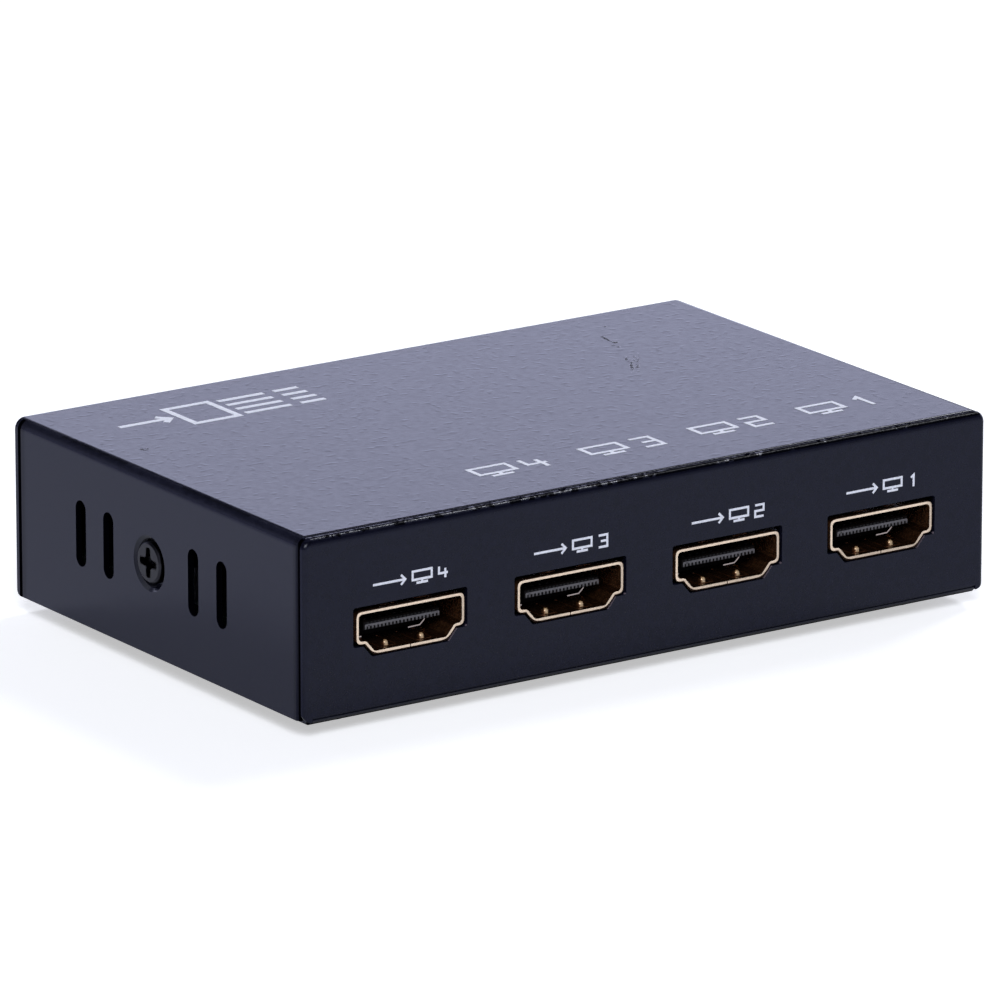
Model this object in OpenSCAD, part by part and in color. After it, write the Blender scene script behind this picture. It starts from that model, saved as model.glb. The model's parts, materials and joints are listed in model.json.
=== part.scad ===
// Four-output video splitter in a folded sheet-metal case.
// X runs along the front panel, Y from the outputs to the rear, Z up.
// The origin is under the middle of the case, on the plane the feet stand on.

/* [Case] */
// Width of the case along the front panel
case_w = 96; // [90:0.5:110]
// Depth of the case over both panels
case_d = 61.6; // [58:0.2:72]
// Height of the case without its feet
case_h = 22.2; // [21.5:0.1:28]
// Thickness of the steel sheet
sheet_t = 0.8; // [0.6:0.1:1]
// Outer radius of the folds
bend_r = 1.3; // [1.1:0.1:1.6]
// Radius of the corners of each panel
corner_r = 1.25; // [0.8:0.05:1.5]
// Radius of the front panel's outer edges
edge_r = 0.7; // [0.3:0.05:0.75]
// Radius of the cover's outer edges at the seam
cover_edge_r = 0.5; // [0.2:0.05:0.7]
// Radius of the lower rear corners of the cover's sides
tail_r = 0.75; // [0.4:0.05:1.2]
// Height of the cover's side edges above the underside of the tray
cover_lift = 0.6; // [0.1:0.1:0.8]
// Height of the front panel's tips beside the fold above the underside of the tray
tip_lift = 0.5; // [0.3:0.1:1]
// Distance from the case's side to the end of the folds
lip_inset = 1.2; // [1.1:0.1:2]
// Gap of the relief cuts beside a fold
relief = 0.6; // [0.4:0.1:1]
// Height of the scored line along the front fold above the underside of the tray
score_z = 0.75; // [0.6:0.05:0.9]
// Width of the scored line
score_w = 0.25; // [0.1:0.05:0.3]
// Depth of the scored line
score_depth = 0.3; // [0.1:0.05:0.35]

/* [Vents] */
// Width of a vent slot
slot_w = 2.2; // [1.8:0.1:3.4]
// Height of a vent slot
slot_h = 8; // [6:0.5:11]
// Distance between the two slots of a pair
slot_pitch = 6; // [4.5:0.1:7]
// Distance between the two pairs of slots
pair_pitch = 24.2; // [21:0.2:30]
// Height of the slots and of the cover screw above the underside of the tray
vent_z = 11.6; // [10.5:0.1:12]
// Shift of the slots towards the rear
vent_shift = 1.3; // [0:0.1:4]

/* [Cover screws] */
// Shift of the pressed recess behind the middle of the slots
recess_shift = 0.3; // [0:0.1:1]
// Shift of the cover screw behind the middle of its recess
screw_shift = 0.3; // [0:0.05:0.3]
// Diameter of the pressed recess round the screw head
dimple_d = 5.9; // [5.9:0.1:7.5]
// Depth of the pressed recess
dimple_depth = 1.2; // [1:0.1:1.6]
// Wall of the pressed recess
dimple_wall = 0.6; // [0.5:0.1:0.8]
// Diameter of the cover screw's thread
cover_screw_d = 3; // [2.5:0.1:3.5]
// Length of the cover screw under its head
cover_screw_l = 5; // [4:0.5:6]
// Diameter of the cover screw's head
cover_head_d = 5.1; // [4.8:0.1:5.1]
// Length of one arm of the cross recess
cross_l = 1.8; // [1.2:0.1:2]
// Width of the cross recess's arms at its middle
cross_w = 1.3; // [0.8:0.1:1.4]
// Width of the cross recess's arms at their ends
cross_tip = 0.6; // [0.4:0.1:0.8]
// Depth of the cross recess
cross_depth = 0.7; // [0.5:0.1:0.9]
// Width of the tray's ear behind the cover screw
ear_w = 10; // [7:0.5:12]
// Height of the ear above the screw's axis
ear_rise = 4.5; // [3:0.5:6]

/* [Feet] */
// Diameter of a foot at the case
foot_d = 7; // [6:0.5:8]
// Height of a foot
foot_h = 1.5; // [1:0.1:3]
// Distance from the case's sides to a foot's centre
foot_inset = 8; // [6:0.5:9]
// Slope of the foot's edge, at its radius
foot_slope = 0.5; // [0.2:0.1:1]

/* [Sockets] */
// Width of the socket's opening
opening_w = 14.1; // [13.5:0.1:14.5]
// Height of the socket's opening
opening_h = 4.6; // [4.3:0.05:4.8]
// Height of the stepped lower corners
step_h = 1.375; // [1.2:0.025:1.6]
// Width of the level ledge of a stepped corner
ledge_w = 1; // [0.9:0.05:1.2]
// Width of the opening's flat floor
floor_w = 9.8; // [9.2:0.1:10.4]
// Radius of the opening's outward corners
mouth_r = 0.5; // [0.3:0.05:0.6]
// Sheet of the socket shell
shell_t = 0.4; // [0.3:0.05:0.6]
// Length of the socket shell
socket_len = 12; // [11:0.5:13]
// Distance between the outputs
socket_pitch = 22.1; // [20:0.1:24]
// Sideways shift of the row of outputs
row_shift = -0.3; // [-1:0.1:1]
// Height of the socket's axis above the underside of the tray
socket_z = 9.9; // [9:0.1:10.5]
// Radius of the corners of the panel's cut-outs
cutout_r = 0.35; // [0.2:0.05:0.6]
// Height of a cut-out's middle above the socket's axis
cutout_rise = 0.15; // [0:0.05:0.2]
// Radius of the shell's inward corners
bend_in_r = 0.3; // [0.15:0.05:0.35]
// Width of the seam along the shell's floor
seam_w = 0.12; // [0.08:0.02:0.2]
// Width of a spring finger
finger_w = 2; // [1.4:0.1:2.4]
// Length of a spring finger
finger_l = 4.2; // [3:0.1:5]
// Distance of a finger's free end behind the mouth
finger_set = 1; // [0.8:0.1:1.5]
// Sideways distance of a finger from the socket's middle
finger_x = 2.45; // [2:0.05:3]
// Radius of the round bump on a finger
bump_r = 0.45; // [0.4:0.05:0.6]
// Width of the shell's solder legs
leg_w = 1.4; // [1:0.1:2]

/* [Tongue and contacts] */
// Width of the tongue
tongue_w = 10.3; // [10:0.1:11.2]
// Thickness of the tongue
tongue_t = 1.1; // [1:0.05:1.4]
// Height of the tongue's middle above the socket's axis
tongue_rise = 0.2; // [0:0.05:0.3]
// Distance of the tongue's front behind the mouth
tongue_set = 1.9; // [1.5:0.1:3]
// Length of the tongue's nose, in front of the contact strips
nose_l = 0.7; // [0.5:0.1:1]
// Distance of the insulator's wall behind the mouth
wall_set = 6; // [5:0.1:7]
// Length of the insulator's body behind its wall
insulator_l = 4.2; // [3.5:0.1:4.4]
// Distance between neighbouring contacts, rows alternating
contact_pitch = 0.5; // [0.45:0.01:0.52]
// Width of a contact
contact_w = 0.3; // [0.2:0.02:0.34]
// Thickness of a contact
contact_t = 0.2; // [0.16:0.02:0.24]
// Height of a contact's tip in the tongue's front
tip_h = 0.5; // [0.4:0.05:0.6]
// Height of the tips' middle above the tongue's middle
tip_rise = 0.1; // [0:0.05:0.15]
// Length of a contact's solder foot
contact_foot = 1.2; // [0.8:0.1:1.6]

/* [Board] */
// Thickness of the circuit board
board_t = 1.6; // [1.2:0.2:2]
// Distance from the board's side edges to its screw holes
hole_side = 5; // [4:0.5:7]
// Distance from the board's front edge to its front screw holes
hole_front = 22; // [21:0.5:24]
// Distance from the board's rear edge to its rear screw holes
hole_rear = 12.5; // [11:0.5:14]
// Width of a standoff over its corners
standoff_d = 5.6; // [5:0.1:6.5]
// Diameter of a standoff's riveted stub in the tray
stub_d = 4; // [3.6:0.1:4.4]
// Diameter of the board screws
board_screw_d = 2.5; // [2:0.1:3]
// Diameter of a board screw's head
board_head_d = 4.6; // [4:0.1:5.2]
// Height of a board screw's head
board_head_h = 1.6; // [1.2:0.1:2]

/* [Rear panel] */
// Sideways place of the input socket
input_x = -18; // [-24:0.5:-12]
// Sideways place of the power inlet
dc_x = 29; // [27:0.5:31]
// Sideways place of the power light
led_x = 13; // [10:0.5:16]
// Height of the power light above the board
led_rise = 4; // [3.5:0.1:5]
// Diameter of the power light
led_d = 3; // [2.5:0.1:3.5]
// Length of the power light from its tip to its flange
led_l = 4.4; // [4:0.1:5.5]
// Thickness of the wire of the light's leads
lead_t = 0.5; // [0.4:0.05:0.6]

/* [Power inlet] */
// Width of the inlet's body
dc_w = 9; // [8.6:0.1:10]
// Height of the inlet's body
dc_h = 11; // [10.6:0.1:11.5]
// Height of the inlet's axis above the board
dc_axis = 6.5; // [6:0.1:6.8]
// Length of the inlet's body behind the panel
dc_l = 13.4; // [12.5:0.1:14]
// Thickness of the body's square face
dc_face = 3.3; // [2.5:0.1:4]
// Diameter of the round nose in the panel
dc_nose_d = 8; // [7.6:0.1:8.4]
// Diameter of the inlet's bore
dc_bore_d = 6.3; // [6:0.1:6.5]
// Depth of the inlet's bore
dc_bore_l = 9.5; // [8.5:0.1:10.5]
// Diameter of the centre pin
dc_pin_d = 2; // [1.6:0.1:2.5]
// Diameter of the pin's shank, held in the body behind the bore
dc_shank_d = 2.8; // [2.6:0.1:3.2]
// Distance of the pin's tip behind the panel's face
dc_pin_set = 1; // [0.5:0.1:2]
// Width of the inlet's metal tabs
dc_tab_w = 2.4; // [2:0.1:2.8]
// Thickness of the inlet's metal tabs
dc_tab_t = 0.4; // [0.3:0.05:0.5]

/* [Electronics] */
// Width of the splitter chip's body
chip_w = 12; // [10:0.5:14]
// Thickness of the splitter chip's body
chip_t = 1.4; // [1:0.1:1.8]
// Leads on each side of the splitter chip
chip_leads = 20; // [12:1:20]
// Distance between the splitter chip's leads
chip_pitch = 0.5; // [0.45:0.01:0.55]
// Diameter of the electrolytic capacitors
cap_d = 6.3; // [5:0.1:6.6]
// Height of the electrolytic capacitors over the board
cap_h = 5.8; // [5:0.1:7]
// Length of the crystal's can
crystal_l = 11; // [9:0.1:11.5]
// Width of the crystal's can
crystal_w = 4.6; // [4:0.1:5]
// Height of the crystal's can
crystal_h = 3.4; // [2.5:0.1:4]

/* [Clearances] */
// Seam between the cover and the front panel
seam_gap = 0.35; // [0.1:0.05:0.5]
// Gap between the cover's roof and the rear panel
side_gap = 0.2; // [0.1:0.05:0.4]
// Gap between the cover's sides and the tray's floor
floor_gap = 0.8; // [0.2:0.1:1.2]
// Gap between a recess's floor and the ear behind it
ear_gap = 0.1; // [0.05:0.05:0.3]
// Gap round a socket shell in its panel's cut-out
cutout_gap = 0.35; // [0.2:0.05:0.5]
// Gap round the power inlet's nose and the light in the panel
hole_gap = 0.2; // [0.1:0.05:0.4]
// Distance of the board's edges from the panels and ears
board_gap = 0.6; // [0.4:0.1:1]
// Gap round a screw's thread in the hole it passes through
screw_gap = 0.2; // [0.1:0.05:0.4]
// Gap round a thread, pin or stub in the hole that holds it
hold_gap = 0.05; // [0.02:0.01:0.1]
// Gap between moulded and metal pieces inside a socket
mould_gap = 0.04; // [0.02:0.01:0.05]
// Gap round a leg or lead in its hole in the board
lead_gap = 0.15; // [0.1:0.05:0.25]

/* [Hidden] */
$fn = 48;

// Sockets on the front panel
output_count = 4;
// Overshoot of a cut past the face it opens
cut = 0.5;
// Points on one rounded corner of an outline
arc_steps = 6;
// Smallest radius kept in an inward corner
inner_r = 0.12;

// Levels above the plane the feet stand on
tray_z = foot_h;
plate_top = tray_z + sheet_t;
front_y = -case_d / 2;
rear_y = case_d / 2;
shell_h = opening_h + 2 * shell_t;
shell_w = opening_w + 2 * shell_t;
socket_cz = tray_z + socket_z;
board_top = socket_cz - shell_h / 2;
board_z = board_top - board_t;
standoff_h = board_z - plate_top;

// Widths of the folded sheets
cover_set = sheet_t + seam_gap;
cover_l = case_d - cover_set;
lip_w = case_w - 2 * lip_inset;
plate_w = case_w - 2 * (sheet_t + floor_gap);
rear_h = case_h - sheet_t - side_gap;
plate_d = case_d - 2 * (bend_r + relief);
ear_x = case_w / 2 - dimple_depth - sheet_t - ear_gap;
ear_h = vent_z + ear_rise;
head_sink = 0.05;
head_chamfer = 0.3;
dimple_lead = 0.4;
recess_y = vent_shift + recess_shift;

// Board outline and its screw holes
board_w = 2 * (ear_x - sheet_t - board_gap);
board_d = case_d - 2 * (sheet_t + board_gap);
hole_x = board_w / 2 - hole_side;
hole_ys = [-board_d / 2 + hole_front, board_d / 2 - hole_rear];
board_hole_d = board_screw_d + 2 * screw_gap;
screw_end_gap = 0.5;
board_screw_l = board_t + standoff_h - screw_end_gap;
pin_rest = 1;

// Socket outline, counter-clockwise from the floor's left end, round the socket's axis
ledge_z = -opening_h / 2 + step_h;
ledge_x = opening_w / 2 - ledge_w;
socket_outline = [
    [-floor_w / 2, -opening_h / 2], [floor_w / 2, -opening_h / 2],
    [ledge_x, ledge_z], [opening_w / 2, ledge_z],
    [opening_w / 2, opening_h / 2], [-opening_w / 2, opening_h / 2],
    [-opening_w / 2, ledge_z], [-ledge_x, ledge_z]
];
slit = 0.25;
bump_set = 0.7;
bump_skin = 0.05;
leg_set = 2.6;
leg_ys = [leg_set, socket_len - leg_set];
tail_h = 1.5;
tongue_top = tongue_rise + tongue_t / 2;
tongue_floor = tongue_rise - tongue_t / 2;
tongue_chamfer = 0.15;
contact_count = 19;
contact_sink = 0.1;
tip_set = 0.06;
tip_floor = tongue_rise + tip_rise - tip_h / 2;
strip_set = tongue_set + nose_l;
insulator_back = wall_set + insulator_l;
tail_set = insulator_back + mould_gap;
tail_end = tail_set + contact_t + contact_foot;
tail_half = (contact_count - 1) / 2 * contact_pitch + contact_w;

// Power inlet and light, measured inwards from the rear panel's outer face
dc_face_set = sheet_t + hole_gap;
dc_back = dc_face_set + dc_l;
dc_barrel_wall = 1.05;
dc_barrel_d = dc_bore_d + 2 * dc_barrel_wall;
dc_pin_taper = 0.5;
dc_leaf_set = 1.6;
dc_leaf_l = 6.4;
dc_leaf_end = dc_leaf_set + dc_leaf_l;
dc_leaf_gap = 0.1;
led_flange = 0.9;
led_flange_t = 1;
led_run = 2.4;
led_foot_set = led_l + led_flange_t + led_run;
led_pitch = 2.54;

// Places on the board
chip_pos = [0, -2.5];
memory_pos = [[-23, 1], [-31, 1]];
regulator_pos = [[22, 6.5], [31, 6.5]];
cap_pos = [[13, 7], [13, 14.5]];
crystal_pos = [-13, -2];
diode_pos = [24, -3];
resistor_pos = [-36, 7.5];
chip_rise = 0.1;
chip_lead_w = 0.24;
chip_lead_t = 0.15;
chip_lead_foot = 1;
memory_size = [4.9, 3.9, 1.4];
memory_leads = 4;
memory_pitch = 1.27;
memory_lead_w = 0.42;
regulator_size = [6.5, 3.5, 1.6];
regulator_leads_n = 3;
regulator_pitch = 2.3;
regulator_lead_w = 0.75;
regulator_tab_w = 3;
small_lead_t = 0.2;
small_lead_foot = 1.2;
lead_shoulder = 0.3;
cap_base_t = 1.2;
cap_base_edge = 0.15;
cap_base_w = cap_d + 2 * cap_base_edge;
cap_chamfer = 1.2;
cap_groove = 0.25;
cap_groove_z = 1.6;
cap_groove_h = 0.5;
crystal_rim = 0.4;
crystal_rim_t = 0.5;
crystal_pin_d = 0.5;
crystal_pin_pitch = 4.9;
diode_size = [4.4, 2.6, 2.2];
diode_end = [0.5, 1.5, 1.2];
array_size = [2.5, 1.1, 0.6];
array_gap = 1.6;
array_half_pitch = 2.2;
capacitor_size = [0.8, 1.6, 0.8];
capacitor_gap = 1;
capacitor_pitch = 1.6;
capacitor_count = 4;
// Depth of the small parts behind a socket, from its mouth
array_set = tail_end + array_gap;
capacitor_set = array_set + array_size[1] + capacitor_gap;
// Block of small resistors
resistor_size = [1.6, 0.8, 0.45];
resistor_pitch = [2.6, 1.8];
resistor_counts = [4, 3];

// Colours
paint = [0.11, 0.115, 0.135];
gold = [0.86, 0.7, 0.42];
tin = [0.75, 0.75, 0.77];
zinc = [0.2, 0.2, 0.22];
black_plastic = [0.06, 0.06, 0.065];
chip_black = [0.1, 0.1, 0.1];
board_green = [0.04, 0.22, 0.12];
rubber = [0.05, 0.05, 0.05];
ceramic_tan = [0.66, 0.54, 0.4];

// Outward unit normal of the edge a to b of a counter-clockwise outline
function edge_normal(a, b) = let (d = (b - a) / norm(b - a)) [d[1], -d[0]];

// Corner b moved outwards so that both its edges move by d
function moved_corner(a, b, c, d) =
    let (n = edge_normal(a, b), m = edge_normal(b, c)) b + d * (n + m) / (1 + n * m);

// Outline with every edge moved outwards by d
function grown(pts, d) =
    let (n = len(pts))
    [for (i = [0 : n - 1]) moved_corner(pts[(i + n - 1) % n], pts[i], pts[(i + 1) % n], d)];

// Points of an arc of radius r that rounds corner b between a and c
function corner_arc(a, b, c, r) =
    let (
        u = (a - b) / norm(a - b),
        v = (c - b) / norm(c - b),
        half = acos(u * v) / 2,
        centre = b + (u + v) / norm(u + v) * r / sin(half),
        from = b + u * r / tan(half) - centre,
        to = b + v * r / tan(half) - centre,
        start = atan2(from[1], from[0]),
        sweep = (atan2(to[1], to[0]) - start + 540) % 360 - 180
    )
    [for (k = [0 : arc_steps])
        let (angle = start + sweep * k / arc_steps) centre + r * [cos(angle), sin(angle)]];

// True where the outline turns inwards at b
function turns_in(a, b, c) = (b - a)[0] * (c - b)[1] - (b - a)[1] * (c - b)[0] < 0;

// Outline with its outward corners rounded by r_out and its inward corners by r_in
function rounded(pts, r_out, r_in) =
    let (n = len(pts))
    [for (i = [0 : n - 1])
        let (a = pts[(i + n - 1) % n], b = pts[i], c = pts[(i + 1) % n])
        each corner_arc(a, b, c, turns_in(a, b, c) ? r_in : r_out)];

// Profile of a bent lead: out of the body at height h, down to the board and out along it
function lead_profile(h, t, foot) = [
    [0, h - t], [lead_shoulder, h - t], [lead_shoulder, 0], [lead_shoulder + foot, 0],
    [lead_shoulder + foot, t], [lead_shoulder + t, t], [lead_shoulder + t, h], [0, h]
];

// Sideways place of output n, counted from the right
function output_x(n) = row_shift + ((output_count + 1) / 2 - n) * socket_pitch;

// A flat shape drawn in width and height, made solid along X or Y
module along_x(l) rotate([90, 0, 90]) linear_extrude(l, center = true) children();
module along_y(l) rotate([90, 0, 0]) linear_extrude(l, center = true) children();

// Rectangle standing on the axis, with both lower corners rounded
module round_bottom(w, h, r) {
    translate([-w / 2, r]) square([w, h - r]);
    translate([-w / 2 + r, 0]) square([w - 2 * r, h]);
    for (side = [-1, 1]) translate([side * (w / 2 - r), r]) circle(r);
}

// Section of a sheet folded up at both ends
module channel(w, h, r) {
    difference() {
        round_bottom(w, h, r);
        translate([0, sheet_t]) round_bottom(w - 2 * sheet_t, h, r - sheet_t);
    }
}

// Rectangle standing on the axis, with four rounded corners
module round_rect(w, h, r) {
    translate([-w / 2, r]) square([w, h - 2 * r]);
    translate([-w / 2 + r, 0]) square([w - 2 * r, h]);
    for (side = [-1, 1]) for (z = [r, h - r]) translate([side * (w / 2 - r), z]) circle(r);
}

// Upright slot with round ends, round the origin
module obround(w, h) {
    square([w, h - w], center = true);
    for (side = [-1, 1]) translate([0, side * (h - w) / 2]) circle(d = w);
}

// Waste outside a rounding of radius r, round the rounding's centre, towards -X and -Y
module corner_waste(r) {
    difference() {
        translate([-r - cut, -r - cut]) square(r + cut);
        circle(r);
    }
}

// Rounds the outer edges of a sheet that ends at depth y, on the roof and both sides
module end_cut(y, r) {
    translate([0, y + r, tray_z + case_h - r]) along_x(case_w + 2 * cut) mirror([0, 1]) corner_waste(r);
    for (side = [0, 1]) mirror([side, 0, 0]) translate([r - case_w / 2, y + r, tray_z - cut])
        linear_extrude(case_h + 2 * cut) corner_waste(r);
}

// Places children on a case side at the pressed recess, with +Z pointing into the case
module on_side(side) {
    translate([side * case_w / 2, recess_y, tray_z + vent_z]) rotate([0, -90 * side, 0]) children();
}
module at_cover_screw(side) on_side(side) translate([0, screw_shift, 0]) children();

// Places children at a socket's mouth, with +Y pointing into the case
module at_output(n) translate([output_x(n), front_y, socket_cz]) children();
module at_input() translate([input_x, rear_y, socket_cz]) rotate([0, 0, 180]) children();

// Places children at the five sockets' places on the board
module at_each_socket() {
    for (n = [1 : output_count]) at_output(n) children();
    at_input() children();
}

// Places children at a hole in the rear panel, with +Z pointing into the case and +Y up
module on_rear(x, rise) translate([x, rear_y, board_top + rise]) rotate([90, 0, 0]) children();

// Places children at the board's four screws
module at_board_holes(z) for (x = [-hole_x, hole_x]) for (y = hole_ys) translate([x, y, z]) children();

// A socket outline grown by d, made solid from one depth to another
module socket_block(d, r_out, r_in, from, to) {
    translate([0, (from + to) / 2, 0]) along_y(to - from)
        polygon(rounded(grown(socket_outline, d), r_out, r_in));
}

// The front panel closes the case in front of the cover
module front_panel() {
    difference() {
        translate([0, -(case_d - sheet_t) / 2, tray_z]) along_y(sheet_t) difference() {
            translate([0, tip_lift]) round_rect(case_w, case_h - tip_lift, corner_r);
            translate([-lip_w / 2, 0]) square([lip_w, bend_r]);
        }
        end_cut(front_y, edge_r);
        panel_corner_cut();
    }
}

// Rounds the front panel's outer edge where it runs round an upper corner
module panel_corner_cut() {
    for (side = [0, 1]) mirror([side, 0, 0])
        translate([case_w / 2 - corner_r, front_y + edge_r, tray_z + case_h - corner_r])
            rotate([90, 0, 0]) rotate_extrude(angle = 90) translate([corner_r - edge_r, 0])
                rotate(180) corner_waste(edge_r);
}

// The rear panel stands inside the cover's end
module rear_panel() {
    translate([0, (case_d - sheet_t) / 2, tray_z]) along_y(sheet_t)
        translate([0, rear_h]) mirror([0, 1]) round_bottom(lip_w, rear_h - bend_r, corner_r);
}

module tray_plate() {
    difference() {
        union() {
            translate([0, 0, tray_z]) along_x(lip_w) channel(case_d, bend_r + sheet_t, bend_r);
            translate([-plate_w / 2, -plate_d / 2, tray_z]) cube([plate_w, plate_d, sheet_t]);
        }
        for (side = [-1, 1])
            translate([side * (ear_x - bend_r + case_w / 2), recess_y, tray_z])
                cube([case_w, ear_w + 2 * relief, 2 * (sheet_t + cut)], center = true);
    }
}

module rear_hole(d) translate([0, 0, -cut]) cylinder(d = d + 2 * hole_gap, h = sheet_t + 2 * cut);

module panel_cutouts() {
    at_each_socket() translate([0, 0, cutout_rise])
        socket_block(shell_t + cutout_gap, cutout_r, inner_r, -cut, sheet_t + cut);
    on_rear(dc_x, dc_axis) rear_hole(dc_nose_d);
    on_rear(led_x, led_rise) rear_hole(led_d);
}

module base_tray() color(paint) difference() {
    union() {
        tray_plate();
        front_panel();
        rear_panel();
        translate([0, recess_y, tray_z]) along_y(ear_w) channel(2 * ear_x, ear_h, bend_r);
    }
    panel_cutouts();
    translate([-lip_w / 2, front_y - cut, tray_z + score_z]) cube([lip_w, cut + score_depth, score_w]);
    for (side = [-1, 1]) at_cover_screw(side)
        cylinder(d = cover_screw_d + 2 * hold_gap, h = case_w / 2 - ear_x + sheet_t + cut);
    at_board_holes(tray_z - cut) cylinder(d = stub_d + 2 * hold_gap, h = sheet_t + 2 * cut);
}

// Pressed recess, as the solid that stands inside the cover's side
module dimple_body() {
    translate([0, 0, sheet_t / 2])
        cylinder(d = dimple_d + 2 * dimple_wall, h = dimple_depth + sheet_t / 2);
}

module dimple_cut() {
    translate([0, 0, -cut]) cylinder(d = dimple_d, h = cut + dimple_depth);
    cylinder(d1 = dimple_d + 2 * dimple_lead, d2 = dimple_d, h = dimple_lead);
    translate([0, screw_shift, 0])
        cylinder(d = cover_screw_d + 2 * screw_gap, h = dimple_depth + sheet_t + cut);
}

module side_slots() {
    for (pair = [-1, 1]) for (half = [-1, 1])
        translate([0, vent_shift + pair * pair_pitch / 2 + half * slot_pitch / 2, tray_z + vent_z])
            along_x(case_w + 2 * cut) obround(slot_w, slot_h);
}

// Rounds the lower rear corners of the cover's sides
module tail_cut() {
    translate([0, rear_y - tail_r, tray_z + cover_lift + tail_r]) along_x(case_w + 2 * cut)
        mirror([1, 0]) corner_waste(tail_r);
}

module top_cover() color(paint) difference() {
    union() {
        translate([0, cover_set / 2, tray_z + case_h]) mirror([0, 0, 1])
            along_y(cover_l) channel(case_w, case_h - cover_lift, bend_r);
        for (side = [-1, 1]) on_side(side) dimple_body();
    }
    for (side = [-1, 1]) on_side(side) dimple_cut();
    side_slots();
    tail_cut();
    end_cut(front_y + cover_set, cover_edge_r);
}

// Cross recess with arms that taper to their ends, and a pointed middle
module cross_cut() {
    for (turn = [0, 90]) rotate([0, 0, turn]) translate([0, 0, -cut]) linear_extrude(cut + cross_depth)
        polygon([
            [-cross_tip / 2, -cross_l], [cross_tip / 2, -cross_l], [cross_w / 2, 0],
            [cross_tip / 2, cross_l], [-cross_tip / 2, cross_l], [-cross_w / 2, 0]
        ]);
    pit_h = cross_depth + cross_tip / 2;
    pit_d = cross_l + (cross_l - cross_tip) * cut / pit_h;
    translate([0, 0, -cut]) cylinder(d1 = pit_d, d2 = cross_tip, h = pit_h + cut);
}

module cover_screws() color(zinc) for (side = [-1, 1]) at_cover_screw(side) difference() {
    translate([0, 0, head_sink]) union() {
        cylinder(d1 = cover_head_d - 2 * head_chamfer, d2 = cover_head_d, h = head_chamfer);
        translate([0, 0, head_chamfer])
            cylinder(d = cover_head_d, h = dimple_depth - head_sink - head_chamfer);
        cylinder(d = cover_screw_d, h = dimple_depth - head_sink + cover_screw_l);
    }
    translate([0, 0, head_sink]) cross_cut();
}

module rubber_feet() color(rubber) for (x = [-1, 1]) for (y = [-1, 1])
    translate([x * (case_w / 2 - foot_inset), y * (case_d / 2 - foot_inset), 0])
        cylinder(d1 = foot_d - 2 * foot_slope, d2 = foot_d, h = foot_h);

module board_standoffs() color(tin) difference() {
    union() {
        at_board_holes(plate_top) cylinder(d = standoff_d, h = standoff_h, $fn = 6);
        at_board_holes(tray_z) cylinder(d = stub_d, h = sheet_t + standoff_h / 2);
    }
    at_board_holes(tray_z - cut) cylinder(d = board_screw_d + 2 * hold_gap, h = board_z - tray_z + 2 * cut);
}

module board_screws() color(tin) at_board_holes(board_top) difference() {
    union() {
        cylinder(d = board_head_d, h = board_head_h);
        translate([0, 0, -board_screw_l]) cylinder(d = board_screw_d, h = board_screw_l + board_head_h / 2);
    }
    translate([0, 0, board_head_h]) mirror([0, 0, 1]) cross_cut();
}

// Upright lead holes or slots through the board
module board_slot(w, l) {
    translate([-w / 2 - lead_gap, -l / 2 - lead_gap, board_z - cut])
        cube([w + 2 * lead_gap, l + 2 * lead_gap, board_t + 2 * cut]);
}

module board_hole(d) translate([0, 0, board_z - cut]) cylinder(d = d + 2 * lead_gap, h = board_t + 2 * cut);

module leg_slots() {
    for (side = [-1, 1]) for (y = leg_ys)
        translate([side * (shell_w - shell_t) / 2, y, -socket_cz]) board_slot(shell_t, leg_w);
}

module main_board() color(board_green) difference() {
    translate([-board_w / 2, -board_d / 2, board_z]) cube([board_w, board_d, board_t]);
    at_board_holes(board_z - cut) cylinder(d = board_hole_d, h = board_t + 2 * cut);
    at_each_socket() leg_slots();
    for (side = [-1, 1]) {
        translate([led_x + side * led_pitch / 2, rear_y - led_foot_set, 0]) board_slot(lead_t, lead_t);
        translate([crystal_pos[0], crystal_pos[1] + side * crystal_pin_pitch / 2, 0])
            board_hole(crystal_pin_d);
    }
    translate([dc_x, rear_y - dc_back - dc_tab_t / 2, 0]) board_slot(dc_tab_w, dc_tab_t);
    translate([dc_x, rear_y - dc_leaf_end + dc_tab_t / 2, 0]) board_slot(dc_tab_w, dc_tab_t);
}

// Spring finger slits in the shell's floor and roof, free end towards the mouth
module finger_slits() {
    for (wall = [-1, 1]) for (side = [-1, 1])
        translate([side * finger_x, finger_set, wall * (shell_h - shell_t) / 2]) {
            translate([-finger_w / 2 - slit, -slit, -shell_t])
                cube([finger_w + 2 * slit, slit, 2 * shell_t]);
            for (edge = [-1, 1]) translate([edge * (finger_w + slit) / 2 - slit / 2, -slit, -shell_t])
                cube([slit, finger_l, 2 * shell_t]);
        }
}

module finger_bumps() {
    for (wall = [-1, 1]) for (side = [-1, 1])
        translate([side * finger_x, finger_set + bump_set, wall * (shell_h / 2 - bump_skin - bump_r)])
            sphere(bump_r);
}

module shell_legs() {
    leg_h = shell_h / 2 + board_t + pin_rest;
    for (side = [-1, 1]) for (y = leg_ys)
        translate([side * (shell_w - shell_t) / 2 - shell_t / 2, y - leg_w / 2, -leg_h])
            cube([shell_t, leg_w, leg_h]);
}

module socket_shell() color(gold) {
    difference() {
        union() {
            socket_block(shell_t, mouth_r + shell_t, bend_in_r, 0, socket_len);
            shell_legs();
        }
        socket_block(0, mouth_r, bend_in_r + shell_t, -cut, socket_len - shell_t);
        finger_slits();
        translate([-seam_w / 2, -cut, -shell_h / 2 - cut]) cube([seam_w, socket_len, shell_t + 2 * cut]);
        translate([-tail_half - slit, insulator_back, -shell_h / 2 - cut])
            cube([2 * (tail_half + slit), socket_len, tail_h + cut]);
    }
    finger_bumps();
}

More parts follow.
